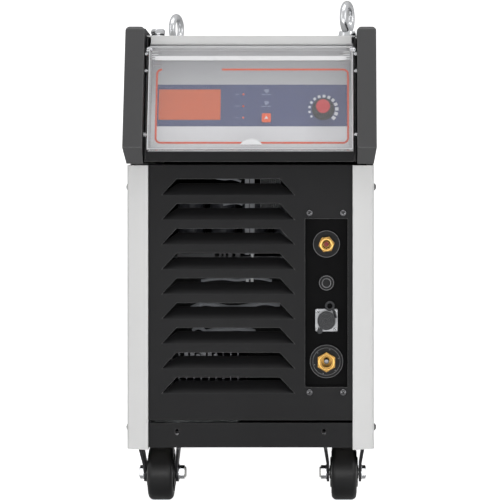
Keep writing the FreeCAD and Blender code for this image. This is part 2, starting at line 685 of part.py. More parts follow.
def fork(x, top_y, axle_y):
    """Bent sheet fork: flat top, two cheeks that slope in towards the axle."""
    outside = [(x - 29.5, FORK_TOP), (x + 29.5, FORK_TOP), (x + FORK_HALF, 50), (x + FORK_HALF, 24),
               (x - FORK_HALF, 24), (x - FORK_HALF, 50)]
    inside = [(x - 25, FORK_TOP - FORK_T), (x + 25, FORK_TOP - FORK_T), (x + 20.3, 50), (x + 20.3, 23),
              (x - 20.3, 23), (x - 20.3, 50)]
    low, high = sorted((top_y, axle_y))
    sheet = prism_y(outside, low - 45, high + 45).cut(prism_y(inside, low - 46, high + 46))
    cheek = [(top_y - 20, FORK_TOP + 1), (top_y + 20, FORK_TOP + 1), (top_y + 20, 76),
             (axle_y + 13, WHEEL_R), (axle_y - 13, WHEEL_R), (top_y - 20, 76)]
    mask = fuse([prism_x(cheek, x - 30, x + 30), rod_x(13, x - 30, x + 30, axle_y, WHEEL_R)])
    body = sheet.common(mask)
    return body.cut(rod_x(AXLE_R, x - 40, x + 40, axle_y, WHEEL_R))


def swivel_fork(x):
    body = fork(x, SWIVEL_Y, SWIVEL_Y + TRAIL)
    return body.cut(rod_z(KING_R + FIT, 80, FORK_TOP + 1, x, SWIVEL_Y))


def rear_forks():
    """Fixed forks of the rear casters with their plates."""
    forks = []
    for x in (-CASTER_X, CASTER_X):
        plate = block(x - 34, x + 34, REAR_CASTER_Y - 34, REAR_CASTER_Y + 34, TRAY_Z - 3, TRAY_Z)
        web = block(x - 28, x + 28, REAR_CASTER_Y - 20, REAR_CASTER_Y + 20, FORK_TOP - 1, TRAY_Z - 3)
        forks.append(fuse([plate, web, fork(x, REAR_CASTER_Y, REAR_CASTER_Y)]))
    return forks


def wheel(x, y):
    """Moulded wheel: rounded tread, recessed flanks and a hub with a bearing bore."""
    half = WHEEL_HALF
    tread = rod_x(WHEEL_R, x - half, x + half, y, WHEEL_R)
    tread = round_edges(tread, 7, lambda e: isinstance(e.Curve, Part.Circle))
    hub = rod_x(20.5, x - half - 1.5, x + half + 1.5, y, WHEEL_R)
    boss = rod_x(9, x - half - 2.8, x + half + 2.8, y, WHEEL_R)
    body = fuse([tread, hub, boss])
    for side in (-1, 1):
        face = x + side * half
        inner, outer = sorted((face - side * 3, face + side * 5))
        groove = rod_x(26, inner, outer, y, WHEEL_R).cut(rod_x(20.5, inner - 1, outer + 1, y, WHEEL_R))
        body = body.cut(groove)
    return body.cut(rod_x(AXLE_R + FIT, x - 30, x + 30, y, WHEEL_R))


def axle(x, y, side):
    """Axle bolt: head outside, lock nut inside."""
    outer = x + side * FORK_HALF
    inner = x - side * FORK_HALF
    low, high = sorted((inner, outer))
    hexagon_outline = shifted(hexagon(16, 20), y, WHEEL_R)
    head_span = sorted((outer, outer + side * 6))
    nut_span = sorted((inner - side * 8, inner))
    return fuse([
        rod_x(AXLE_R, low, high, y, WHEEL_R),
        prism_x(hexagon_outline, *head_span),
        prism_x(hexagon_outline, *nut_span),
    ])


# ---- rear fittings ---------------------------------------------------------------
FAN_Y1 = REAR_Y - SHEET - 2              # rear face of the fan frame
FAN_Y0 = FAN_Y1 - FAN_DEPTH


def fan_frame():
    """Square frame with a round duct, spokes and the motor hub in front."""
    frame = block(-88, 88, FAN_Y0, FAN_Y1, FAN_Z - 88, FAN_Z + 88)
    frame = round_edges(frame, 10, lambda e: along(e, AXIS_Y))
    frame = frame.cut(rod_y(FAN_R, FAN_Y0 - 1, FAN_Y1 + 1, 0, FAN_Z))
    spokes = [block(-FAN_R - 2, FAN_R + 2, FAN_Y0, FAN_Y0 + 5, FAN_Z - 3, FAN_Z + 3),
              block(-3, 3, FAN_Y0, FAN_Y0 + 5, FAN_Z - FAN_R - 2, FAN_Z + FAN_R + 2)]
    hub = rod_y(24, FAN_Y0, FAN_Y0 + 8, 0, FAN_Z)
    pin = rod_y(3, FAN_Y0 + 8, FAN_Y0 + 28, 0, FAN_Z)
    standoffs = [block(x - 6, x + 6, FAN_Y1, REAR_Y - SHEET, FAN_Z + z - 6, FAN_Z + z + 6)
                 for x in (-76, 76) for z in (-76, 76)]
    return fuse([frame, hub, pin] + spokes + standoffs)


def fan_rotor():
    """Hub with seven pitched blades."""
    y0 = FAN_Y0 + 9
    hub = rod_y(26, y0, y0 + 24, 0, FAN_Z)
    blades = []
    for k in range(7):
        blade = block(-11, 11, -1.2, 1.2, 24, FAN_R - 4)
        blade.rotate(Vector(0, 0, 0), AXIS_Z, 35)
        blade.translate(Vector(0, y0 + 12, 0))
        blade.rotate(Vector(0, 0, 0), AXIS_Y, 360 / 7 * k)
        blade.translate(Vector(0, 0, FAN_Z))
        blades.append(blade)
    rotor = fuse([hub] + blades)
    return rotor.cut(rod_y(3 + FIT, y0 - 1, y0 + 19.5, 0, FAN_Z))


def mains_switch():
    """Square escutcheon of the rotary mains switch and its body behind the panel."""
    plate = block(SWITCH_X - 24, SWITCH_X + 24, REAR_Y, REAR_Y + 6, SWITCH_Z - 24, SWITCH_Z + 24)
    plate = round_edges(plate, 4, lambda e: along(e, AXIS_Y))
    stem = rod_y(11.5, REAR_Y - 6, REAR_Y, SWITCH_X, SWITCH_Z)
    body = block(SWITCH_X - 22, SWITCH_X + 22, REAR_Y - 56, REAR_Y - 6, SWITCH_Z - 22, SWITCH_Z + 22)
    return fuse([plate, stem, body]).cut(rod_y(5, REAR_Y - 12, REAR_Y + 7, SWITCH_X, SWITCH_Z))


def switch_handle():
    """Rotary handle with a finger bar."""
    y0 = REAR_Y + 6 + FIT
    disc = rod_y(19, y0, y0 + 8, SWITCH_X, SWITCH_Z)
    bar = block(SWITCH_X - 5, SWITCH_X + 5, y0 + 8, y0 + 24, SWITCH_Z - 17, SWITCH_Z + 17)
    bar = round_edges(bar, 2.5, lambda e: along(e, AXIS_Y) or e.CenterOfMass.y > y0 + 23.9)
    shaft = rod_y(5 - FIT, REAR_Y - 11, y0, SWITCH_X, SWITCH_Z)
    return fuse([disc, bar, shaft])


def cable_gland():
    """Gland of the mains lead: nut, body and dome, open all the way through."""
    dome = Part.makeCone(13, 9.5, 16, Vector(GLAND_X, REAR_Y + 12, GLAND_Z), AXIS_Y)
    body = prism_y(shifted(hexagon(30), GLAND_X, GLAND_Z), REAR_Y, REAR_Y + 12)
    thread = rod_y(11, REAR_Y - 14, REAR_Y, GLAND_X, GLAND_Z)
    nut = prism_y(shifted(hexagon(30, 10), GLAND_X, GLAND_Z), REAR_Y - 8, REAR_Y - SHEET)
    return fuse([dome, body, thread, nut]).cut(rod_y(7, REAR_Y - 15, REAR_Y + 30, GLAND_X, GLAND_Z))


REG_Y = REAR_Y + 30.0                    # axis of the air filter and regulator


def regulator_body():
    """Die-cast body of the air filter and regulator with its ports and bracket stub."""
    x, z = REGULATOR_X, REGULATOR_Z
    body = block(x - 20, x + 20, REG_Y - 20, REG_Y + 20, z - 18, z + 18)
    body = round_edges(body, 4, lambda e: along(e, AXIS_Z))
    stub = rod_y(5.7, REAR_Y - 14, REG_Y - 20, x, z)
    plate = block(x - 14, x + 14, REAR_Y, REG_Y - 20, z - 14, z + 14)
    collar = rod_z(19, z - 24, z - 18, x, REG_Y)
    neck = rod_z(16, z + 18, z + 23, x, REG_Y)
    port = rod_x(9, x - 34, x - 20, REG_Y, z)
    body = fuse([body, stub, plate, collar, neck, port])
    return body.cut(rod_x(5, x - 35, x - 22, REG_Y, z)).cut(rod_z(3, z + 12, z + 24, x, REG_Y))


def regulator_bowl():
    """Clear water bowl under the body."""
    x, z = REGULATOR_X, REGULATOR_Z - 24
    bowl = rod_z(16, z - 48, z, x, REG_Y)
    bowl = round_edges(bowl, 8, lambda e: e.CenterOfMass.z < z - 47.9)
    drain = rod_z(4, z - 56, z - 48, x, REG_Y)
    return fuse([bowl, drain])


def regulator_knob():
    """Fluted pressure knob on top; its stem turns in the neck."""
    x, z = REGULATOR_X, REGULATOR_Z + 23 + FIT
    knob = rod_z(17, z, z + 24, x, REG_Y)
    flutes = []
    for k in range(18):
        angle = math.radians(20 * k)
        flutes.append(rod_z(1.6, z + 3, z + 21, x + 17.4 * math.cos(angle), REG_Y + 17.4 * math.sin(angle)))
    stem = rod_z(3 - FIT, z - 8, z, x, REG_Y)
    return fuse([knob.cut(Part.makeCompound(flutes)), stem])


def pressure_gauge():
    """Small round gauge on the rear face of the regulator body."""
    x, z = REGULATOR_X, REGULATOR_Z
    case = rod_x(18, x + 26, x + 46, REG_Y, z)
    stem = rod_x(5, x + 20, x + 26, REG_Y, z)
    return fuse([case, stem])


# ---- inside ------------------------------------------------------------------------
def shelf():
    """Folded shelf between the power parts below and the inverter board above."""
    flat = block(-150, 150, -200, 180, 330, 332)
    lips = [block(x, x + 2, -200, 180, 318, 332) for x in (-150, 148)]
    return fuse([flat] + lips)


def inverter_board():
    board = block(-130, 130, -180, 150, 338, 340)
    posts = [rod_z(4, 332, 338, x, y) for x in (-120, 120) for y in (-170, 140)]
    return fuse([board] + posts)


def capacitors():
    """Bank of upright storage capacitors on the inverter board."""
    cans = []
    for x in (-90, -45, 0, 45):
        for y in (-150, -105):
            can = rod_z(17.5, 340, 420, x, y)
            cans.append(round_edges(can, 1.5, lambda e: e.CenterOfMass.z > 419.9))
    return cans


def heat_sink():
    """Extruded heat sink on the tray, with its fins upwards."""
    fins = [block(x, x + 2, -240, 60, TRAY_FLOOR_Z + 12, 210) for x in range(-140, -18, 10)]
    return fuse([block(-140, -18, -240, 60, TRAY_FLOOR_Z, TRAY_FLOOR_Z + 12)] + fins)


def power_modules():
    """Diode and transistor modules hung under the shelf above the heat sink."""
    return [block(-125, -25, y, y + 34, 300, 330) for y in (-180, -120, -60, 0)]


def main_transformer():
    """Laminated core with a wound coil, bolted to the tray."""
    core = block(0, 120, -60, 80, TRAY_FLOOR_Z, 224)
    windows = [block(15, 45, -61, 81, 128, 200), block(75, 105, -61, 81, 128, 200)]
    core = core.cut(Part.makeCompound(windows))
    coil = block(18, 102, -80, 100, 131, 197)
    coil = round_edges(coil, 12, lambda e: along(e, AXIS_Z))
    return fuse([core, coil])


def output_inductor():
    """Ring core choke standing behind the transformer."""
    ring = Part.makeTorus(38, 18, Vector(95, 150, TRAY_FLOOR_Z + 56), AXIS_Y)
    foot = block(70, 120, 138, 162, TRAY_FLOOR_Z, TRAY_FLOOR_Z + 12)
    return fuse([ring, foot])


def solenoid_valve():
    """Air valve fixed to the rear panel behind the regulator."""
    body = block(-115, -75, REAR_Y - 54, REAR_Y - 14, 485, 515)
    coil = rod_z(16, 515, 555, -95, REAR_Y - 34)
    return fuse([body, coil])


# ---- write every sub-part --------------------------------------------------------
def write_all():
    os.makedirs("parts", exist_ok=True)
    pieces = {
        "base_tray": base_tray(),
        "front_panel": front_panel(),
        "connector_plate": connector_plate(),
        "torch_flange": torch_flange(),
        "torch_socket": torch_socket(),
        "work_flange": work_flange(),
        "work_socket": work_socket(),
        "push_button_bezel": push_button_bezel(),
        "push_button": push_button(),
        "control_socket": control_socket(),
        "control_socket_cap": socket_cap(),
        "side_panel_left": side_panel(-1),
        "side_panel_right": side_panel(1),
        "rear_panel": rear_panel(),
        "top_cover": top_cover(),
        "case_screws": case_screws() + socket_screws(),
        "lifting_bars": lifting_bars(),
        "eye_bolts": eye_bolts(),
        "lifting_bolts": lifting_washers() + lifting_bolts(),
        "head_sides": [head_side(-1), head_side(1)],
        "head_sill": head_sill(),
        "control_panel": control_panel(),
        "control_film": control_film(),
        "display_window": display_window(),
        "mode_button": mode_button(),
        "dial_knob": dial_knob(),
        "potentiometer": potentiometer(),
        "control_board": control_board(),
        "lid": lid(),
        "hinge_pins": hinge_pins(),
        "guard_left": guard(-1),
        "guard_right": guard(1),
        "caster_plates": caster_plates(),
        "rear_forks": rear_forks(),
        "fan_frame": fan_frame(),
        "fan_rotor": fan_rotor(),
        "mains_switch": mains_switch(),
        "switch_handle": switch_handle(),
        "cable_gland": cable_gland(),
        "regulator_body": regulator_body(),
        "regulator_bowl": regulator_bowl(),
        "regulator_knob": regulator_knob(),
        "pressure_gauge": pressure_gauge(),
        "shelf": shelf(),
        "inverter_board": inverter_board(),
        "capacitors": capacitors(),
        "heat_sink": heat_sink(),
        "power_modules": power_modules(),
        "main_transformer": main_transformer(),
        "output_inductor": output_inductor(),
        "solenoid_valve": solenoid_valve(),
    }
    for name, shape in pieces.items():
        save(name, shape)
    for side, x in (("left", -CASTER_X), ("right", CASTER_X)):
        out = 1 if x > 0 else -1
        axle_y = SWIVEL_Y + TRAIL
        save("front_fork_" + side, swivel_fork(x))
        save("front_wheel_" + side, wheel(x, axle_y))
        save("front_axle_" + side, axle(x, axle_y, out))
        save("rear_wheel_" + side, wheel(x, REAR_CASTER_Y))
    save("rear_axles", [axle(-CASTER_X, REAR_CASTER_Y, -1), axle(CASTER_X, REAR_CASTER_Y, 1)])


write_all()
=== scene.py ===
import json
import math
import bmesh
import bpy
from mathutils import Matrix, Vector


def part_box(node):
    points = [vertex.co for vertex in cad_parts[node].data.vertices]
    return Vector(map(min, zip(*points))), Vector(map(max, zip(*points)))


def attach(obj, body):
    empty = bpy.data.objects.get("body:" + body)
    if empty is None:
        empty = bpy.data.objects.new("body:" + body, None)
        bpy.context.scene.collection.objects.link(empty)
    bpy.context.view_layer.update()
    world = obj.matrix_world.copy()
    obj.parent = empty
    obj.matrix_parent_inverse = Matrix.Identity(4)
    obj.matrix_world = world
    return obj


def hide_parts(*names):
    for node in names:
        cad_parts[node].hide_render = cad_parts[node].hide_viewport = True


# %% [markdown]
# # A wheeled plasma cutting power source
# The machine stands on four casters. Its black front has nine slots, a recessed plate with sockets, and a
# sloped head with a clear lid over the controls. The measured design comes in first as a fixed frame, and
# everything after this adds finish and small detail to it. Nothing in the frame is moved.

# %% Load the frame
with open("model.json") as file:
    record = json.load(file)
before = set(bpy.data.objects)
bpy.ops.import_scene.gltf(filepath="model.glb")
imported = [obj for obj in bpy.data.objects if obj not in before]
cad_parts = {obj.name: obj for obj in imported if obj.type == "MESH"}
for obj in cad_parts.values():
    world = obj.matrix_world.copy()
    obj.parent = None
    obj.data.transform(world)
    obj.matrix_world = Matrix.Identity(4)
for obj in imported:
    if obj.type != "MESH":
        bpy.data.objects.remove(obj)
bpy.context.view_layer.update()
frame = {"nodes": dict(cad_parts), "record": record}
nodes = frame["nodes"]
joints = {joint["name"]: joint for joint in frame["record"]["behaviour"]["joints"]}
MM = 0.001

# %% [markdown]
# ## Camera
# A product picture of a tall box is usually taken level, so that upright edges stay parallel, and the lens is
# shifted to centre the box. Here the lens is long and stands a little right of the middle and level with the
# head, which is why a thin slice of each inner guard face shows.

# %% Camera
camera_data = bpy.data.cameras.new("camera")
camera_data.lens = 140.4
camera_data.sensor_width = 36.0
camera_data.shift_x = -0.17
camera_data.shift_y = -0.244
camera_data.clip_end = 50.0
camera = bpy.data.objects.new("camera", camera_data)
camera.location = (0.1127, -2.89, 0.5092)
camera.rotation_euler = (math.radians(90), 0, 0)
bpy.context.collection.objects.link(camera)
bpy.context.scene.camera = camera
bpy.context.scene.view_settings.view_transform = "Standard"
print("camera", tuple(camera.location))

# %% [markdown]
# ## Node helpers
# Every finish below is a small network of shader nodes. Three helpers keep the networks readable: one adds a
# node and fills in its values, one joins two sockets, and one starts a node group with named sockets.

# %% Node helpers
def add(tree, kind, **values):
    """Add a node; values with a matching attribute set it, the others fill input sockets."""
    node = tree.nodes.new("ShaderNode" + kind)
    for key, value in values.items():
        if hasattr(node, key):
            setattr(node, key, value)
        else:
            node.inputs[key.replace("_", " ")].default_value = value
    return node


def join(tree, source, target):
    tree.links.new(source, target)


def new_group(name, inputs, outputs):
    """Start a node group. inputs is {name: default number}, outputs is {name: socket type}."""
    group = bpy.data.node_groups.new(name, "ShaderNodeTree")
    for label, default in inputs.items():
        kind = "NodeSocketColor" if isinstance(default, tuple) else "NodeSocketFloat"
        socket = group.interface.new_socket(label, in_out="INPUT", socket_type=kind)
        socket.default_value = default
    for label, kind in outputs.items():
        group.interface.new_socket(label, in_out="OUTPUT", socket_type="NodeSocket" + kind)
    start = group.nodes.new("NodeGroupInput")
    end = group.nodes.new("NodeGroupOutput")
    return group, start.outputs, end.inputs


def place_group(tree, group, **values):
    node = tree.nodes.new("ShaderNodeGroup")
    node.node_tree = group
    for key, value in values.items():
        node.inputs[key.replace("_", " ")].default_value = value
    return node


def math_node(tree, operation, first, second=None, clamp=False):
    """A Math node whose arguments are sockets or plain numbers; returns its output."""
    node = tree.nodes.new("ShaderNodeMath")
    node.operation = operation
    node.use_clamp = clamp
    for slot, value in zip(node.inputs, (first, second)):
        if value is None:
            continue
        if isinstance(value, (int, float)):
            slot.default_value = value
        else:
            tree.links.new(value, slot)
    return node.outputs[0]


def linear(red, green, blue):
    """A colour picked on a screen, from 0 to 255, as the linear light that shaders use."""
    values = [channel / 255 for channel in (red, green, blue)]
    return tuple(v / 12.92 if v < 0.04 else ((v + 0.055) / 1.055) ** 2.4 for v in values) + (1.0,)


# %% [markdown]
# ## Shared effects
# Four effects turn up on many finishes, so each is one node group. *Fine grain* is the orange peel of powder
# coat and the satin of moulded plastic: noise at a millimetre scale for height, plus slow noise for colour.
# *Rounded edges* uses the Bevel node, which bends the normal near an edge, so that sharp sheet edges catch
# light like real folded ones; how far the normal bends is also the mask for a lighter edge colour, which is a
# painted highlight and also stands for worn edges. *Brushed lines* stretches noise along one direction.
# *Settled dust* finds faces that look upwards and breaks them up.

# %% Group: fine grain
def fine_grain_group():
    group, start, end = new_group(
        "fine grain", {"Grain Size": 0.0012, "Patch Size": 0.12}, {"Height": "Float", "Patches": "Float"})
    place = add(group, "TexCoord").outputs["Object"]
    for size, octaves, label in (("Grain Size", 3.0, "Height"), ("Patch Size", 4.0, "Patches")):
        noise = add(group, "TexNoise", Detail=octaves, Roughness=0.55)
        join(group, place, noise.inputs["Vector"])
        join(group, math_node(group, "DIVIDE", 1.0, start[size]), noise.inputs["Scale"])
        join(group, noise.outputs["Fac"], end[label])
    return group


FINE_GRAIN = fine_grain_group()


# %% Group: rounded edges
def rounded_edges_group():
    group, start, end = new_group(
        "rounded edges", {"Radius": 0.0008, "Sharpness": 6.0, "Breakup": 0.5},
        {"Normal": "Vector", "Edge": "Float"})
    bevel = add(group, "Bevel", samples=4)
    join(group, start["Radius"], bevel.inputs["Radius"])
    flat = add(group, "NewGeometry").outputs["Normal"]
    likeness = add(group, "VectorMath", operation="DOT_PRODUCT")
    join(group, bevel.outputs[0], likeness.inputs[0])
    join(group, flat, likeness.inputs[1])
    bend = math_node(group, "SUBTRACT", 1.0, likeness.outputs["Value"], clamp=True)
    strong = math_node(group, "MULTIPLY", bend, start["Sharpness"], clamp=True)
    noise = add(group, "TexNoise", Scale=240.0, Detail=4.0)
    join(group, add(group, "TexCoord").outputs["Object"], noise.inputs["Vector"])
    lost = math_node(group, "MULTIPLY", noise.outputs["Fac"], start["Breakup"])
    broken = math_node(group, "SUBTRACT", 1.0, lost)
    join(group, bevel.outputs[0], end["Normal"])
    join(group, math_node(group, "MULTIPLY", strong, broken, clamp=True), end["Edge"])
    return group


ROUNDED_EDGES = rounded_edges_group()


# %% Group: brushed lines
def brushed_lines_group():
    group, start, end = new_group(
        "brushed lines", {"Fineness": 900.0, "Along X": 0.05, "Along Y": 1.0, "Along Z": 1.0},
        {"Height": "Float", "Streaks": "Float"})
    stretch = add(group, "VectorMath", operation="MULTIPLY")
    factors = add(group, "CombineXYZ")
    for label, axis in (("Along X", "X"), ("Along Y", "Y"), ("Along Z", "Z")):
        join(group, start[label], factors.inputs[axis])
    join(group, add(group, "TexCoord").outputs["Object"], stretch.inputs[0])
    join(group, factors.outputs[0], stretch.inputs[1])
    fine = add(group, "TexNoise", Detail=3.0, Roughness=0.7)
    join(group, stretch.outputs[0], fine.inputs["Vector"])
    join(group, start["Fineness"], fine.inputs["Scale"])
    coarse = add(group, "TexNoise", Detail=2.0)
    join(group, stretch.outputs[0], coarse.inputs["Vector"])
    join(group, math_node(group, "MULTIPLY", start["Fineness"], 0.12), coarse.inputs["Scale"])
    join(group, fine.outputs["Fac"], end["Height"])
    join(group, coarse.outputs["Fac"], end["Streaks"])
    return group


BRUSHED_LINES = brushed_lines_group()


# %% Group: settled dust
def settled_dust_group():
    group, start, end = new_group("settled dust", {"Amount": 0.15}, {"Dust": "Float"})
    normal = add(group, "SeparateXYZ")
    join(group, add(group, "NewGeometry").outputs["Normal"], normal.inputs[0])
    upward = math_node(group, "POWER", math_node(group, "MAXIMUM", normal.outputs["Z"], 0.0), 2.0)
    noise = add(group, "TexNoise", Scale=35.0, Detail=6.0, Roughness=0.65)
    join(group, add(group, "TexCoord").outputs["Object"], noise.inputs["Vector"])
    patchy = math_node(group, "MULTIPLY", upward, noise.outputs["Fac"])
    join(group, math_node(group, "MULTIPLY", patchy, start["Amount"], clamp=True), end["Dust"])
    return group


SETTLED_DUST = settled_dust_group()
print("shared groups", len(bpy.data.node_groups))

# %% [markdown]
# ## Finishes
# One recipe covers every solid finish: a base colour with two tones mixed by the slow noise, a lighter edge
# colour that is a painted highlight and also stands for wear, dust on top faces, and a bump whose height
# comes from the grain or the brushing. The helper below wires that recipe, and each real finish is then a
# handful of values. Clear plastic is wired on its own.

# %% The common recipe
def finish(name, tone, shade, rough, metal=0.0, grain=0.0012, bump=0.1, edge=None, edge_radius=0.0008,
           dust=0.0, brushed=None, spread=0.08, coat=0.0, specular=0.5):
    """A solid finish. tone and shade are the two base colours; edge is the colour of its edges, a painted
    highlight that also stands for wear.
    """
    material = bpy.data.materials.new(name)
    material.use_nodes = True
    tree = material.node_tree
    shader = tree.nodes["Principled BSDF"]
    shader.inputs["Metallic"].default_value = metal
    shader.inputs["Coat Weight"].default_value = coat
    shader.inputs["Coat Roughness"].default_value = 0.1
    shader.inputs["Specular IOR Level"].default_value = specular
    fine = place_group(tree, FINE_GRAIN, Grain_Size=grain)
    edges = place_group(tree, ROUNDED_EDGES, Radius=edge_radius)
    height, slow = fine.outputs["Height"], fine.outputs["Patches"]
    if brushed:
        lines = place_group(tree, BRUSHED_LINES, Fineness=brushed[0], Along_X=brushed[1],
                            Along_Y=brushed[2], Along_Z=brushed[3])
        height, slow = lines.outputs["Height"], lines.outputs["Streaks"]
    colour = add(tree, "Mix", data_type="RGBA")
    colour.inputs[6].default_value = tone
    colour.inputs[7].default_value = shade
    join(tree, slow, colour.inputs[0])
    result = colour.outputs[2]
    # Painted highlight: the edge colour lightens edges as if they caught light, and also stands for worn
    # edges.
    if edge:
        edge_highlight_and_wear = add(tree, "Mix", data_type="RGBA")
        edge_highlight_and_wear.inputs[7].default_value = edge
        join(tree, edges.outputs["Edge"], edge_highlight_and_wear.inputs[0])
        join(tree, result, edge_highlight_and_wear.inputs[6])
        result = edge_highlight_and_wear.outputs[2]
    if dust:
        powder = add(tree, "Mix", data_type="RGBA")
        powder.inputs[7].default_value = linear(176, 170, 160)
        settled = place_group(tree, SETTLED_DUST, Amount=dust)
        join(tree, settled.outputs["Dust"], powder.inputs[0])
        join(tree, result, powder.inputs[6])
        result = powder.outputs[2]
    join(tree, result, shader.inputs["Base Color"])
    swing = math_node(tree, "MULTIPLY", math_node(tree, "SUBTRACT", slow, 0.5), spread * 4)
    join(tree, math_node(tree, "ADD", swing, rough, clamp=True), shader.inputs["Roughness"])
    relief = add(tree, "Bump", Strength=bump, Distance=0.0004)
    join(tree, height, relief.inputs["Height"])
    join(tree, edges.outputs["Normal"], relief.inputs["Normal"])
    join(tree, relief.outputs["Normal"], shader.inputs["Normal"])
    return material


# %% [markdown]
# ## The finishes of this machine
# The front is black powder coat with a fine orange peel, the sides are light grey powder coat, and the cover
# is white. The corner guards are dark satin plastic. Zinc plating is a pale metal with faint drawing lines,
# and the socket bodies are turned brass. Each is made once here and given to nodes further down.

# %% Painted sheet
BLACK_COAT = finish("black powder coat", linear(33, 33, 34), linear(28, 28, 29), 0.44, grain=0.0009,
                    bump=0.22, edge=linear(128, 128, 128), edge_radius=0.0010, spread=0.05, specular=0.12)
DEEP_BLACK = finish("black plate coat", linear(13, 13, 14), linear(9, 9, 10), 0.55, grain=0.0007,
                    bump=0.25, edge=linear(60, 60, 60), edge_radius=0.0006, specular=0.06)
GREY_COAT = finish("light grey powder coat", linear(214, 214, 213), linear(208, 208, 208), 0.42,
                   grain=0.0010, bump=0.12, edge=linear(235, 235, 235), edge_radius=0.0012, dust=0.05)
WHITE_COAT = finish("white powder coat", linear(214, 214, 213), linear(206, 206, 206), 0.40,
                    grain=0.0010, bump=0.12, edge=linear(245, 245, 245), edge_radius=0.0010, dust=0.10)

# %% Plastic and rubber
GUARD_PLASTIC = finish("guard plastic", linear(64, 64, 65), linear(56, 56, 57), 0.40, grain=0.0006,
                       bump=0.22, edge=linear(112, 112, 112), edge_radius=0.0022, dust=0.08)
BLACK_PLASTIC = finish("black moulded plastic", linear(24, 24, 25), linear(18, 18, 19), 0.36,
                       grain=0.0004, bump=0.12, edge=linear(110, 110, 112), edge_radius=0.0006, specular=0.15)
CAP_RUBBER = finish("cap rubber", linear(66, 67, 69), linear(54, 55, 57), 0.60, grain=0.0005, bump=0.15,
                    edge=linear(118, 118, 120), edge_radius=0.0004, dust=0.1, specular=0.25)
TREAD_RUBBER = finish("tread rubber", linear(22, 22, 23), linear(15, 15, 16), 0.36, grain=0.0008,
                      bump=0.2, edge=linear(78, 78, 78), edge_radius=0.001, dust=0.12, specular=0.3)
RED_PLASTIC = finish("red knob plastic", linear(196, 34, 40), linear(170, 26, 32), 0.30, grain=0.0004,
                     bump=0.05, edge=linear(222, 84, 84), edge_radius=0.0006)
CORE_PLASTIC = finish("dark red insulator", linear(168, 26, 28), linear(140, 18, 20), 0.35, grain=0.0003,
                      bump=0.1)
KEY_PLASTIC = finish("orange key plastic", linear(238, 98, 40), linear(226, 84, 28), 0.38, grain=0.0004,
                     bump=0.06, edge=linear(250, 150, 100), edge_radius=0.0005)
BOARD_GREEN = finish("circuit board", linear(30, 92, 58), linear(22, 70, 46), 0.45, grain=0.002,
                     bump=0.2, edge=linear(120, 130, 90), edge_radius=0.0003)
CAN_SLEEVE = finish("capacitor sleeve", linear(86, 88, 94), linear(66, 68, 74), 0.30, grain=0.0006,
                    bump=0.05, edge=linear(170, 170, 176), edge_radius=0.0008)

# %% Bare metal
ZINC = finish("bright zinc", linear(222, 223, 225), linear(198, 200, 203), 0.27, metal=1.0, bump=0.08,
              edge=linear(228, 228, 230), edge_radius=0.0008, brushed=(420.0, 0.3, 1.0, 0.3), spread=0.06)
DARK_ZINC = finish("black zinc", linear(74, 74, 76), linear(54, 54, 56), 0.36, metal=1.0, bump=0.08,
                   edge=linear(190, 190, 192), edge_radius=0.0007, brushed=(420.0, 0.3, 1.0, 0.3))
PLAIN_STEEL = finish("plain steel", linear(142, 142, 144), linear(116, 116, 120), 0.38, metal=1.0,
                     bump=0.1, edge=linear(186, 186, 188), brushed=(500.0, 0.06, 1.0, 1.0))
DULL_ZINC = finish("passivated zinc", linear(158, 159, 161), linear(132, 133, 136), 0.42, metal=1.0, bump=0.1,
                   edge=linear(214, 214, 216), edge_radius=0.0008, brushed=(420.0, 0.3, 1.0, 0.3),
                   spread=0.06)
BRASS = finish("turned brass", linear(142, 110, 58), linear(108, 80, 40), 0.24, metal=1.0, bump=0.06,
               edge=linear(246, 214, 146), edge_radius=0.0006, brushed=(500.0, 0.5, 0.1, 0.5), spread=0.06)
CAST_ALLOY = finish("die-cast alloy", linear(168, 170, 172), linear(146, 148, 152), 0.42, metal=1.0,
                    grain=0.0012, bump=0.3, edge=linear(206, 208, 210), edge_radius=0.001, dust=0.1)
COPPER = finish("enamelled copper", linear(136, 78, 44), linear(104, 58, 34), 0.36, metal=0.8, bump=0.3,
                brushed=(260.0, 1.0, 1.0, 0.04))
print("finishes", len(bpy.data.materials))

# %% [markdown]
# ## Clear plastic
# The lid is clear polycarbonate that handling has made a little hazy. The back of its sheet is moulded with a
# very fine satin, so what lies behind looks soft. Real transmission needs a light ray to be bent at each
# face; a roughness above zero spreads that ray, which is the haze. Streaks of wiping make it uneven.

# %% Clear plastic
def clear_plastic(name, colour, rough, haze, ior, clearness):
    """clearness is the share of light that goes through; the rest scatters as a milky veil."""
    material = bpy.data.materials.new(name)
    material.use_nodes = True
    tree = material.node_tree
    shader = tree.nodes["Principled BSDF"]
    shader.inputs["Base Color"].default_value = colour
    shader.inputs["Transmission Weight"].default_value = clearness
    shader.inputs["IOR"].default_value = ior
    shader.inputs["Metallic"].default_value = 0.0
    shader.inputs["Alpha"].default_value = 1.0
    wiping = place_group(tree, BRUSHED_LINES, Fineness=60.0, Along_X=0.4, Along_Y=1.0, Along_Z=1.2)
    uneven = math_node(tree, "MULTIPLY", wiping.outputs["Streaks"], haze)
    join(tree, math_node(tree, "ADD", uneven, rough, clamp=True), shader.inputs["Roughness"])
    edges = place_group(tree, ROUNDED_EDGES, Radius=0.0006)
    join(tree, edges.outputs["Normal"], shader.inputs["Normal"])
    path = add(tree, "LightPath")
    unseen = math_node(tree, "MAXIMUM", path.outputs["Is Shadow Ray"], path.outputs["Is Diffuse Ray"])
    straight = add(tree, "BsdfTransparent", Color=linear(250, 250, 251))
    choice = add(tree, "MixShader")
    join(tree, unseen, choice.inputs[0])
    join(tree, shader.outputs[0], choice.inputs[1])
    join(tree, straight.outputs[0], choice.inputs[2])
    join(tree, choice.outputs[0], tree.nodes["Material Output"].inputs["Surface"])
    return material


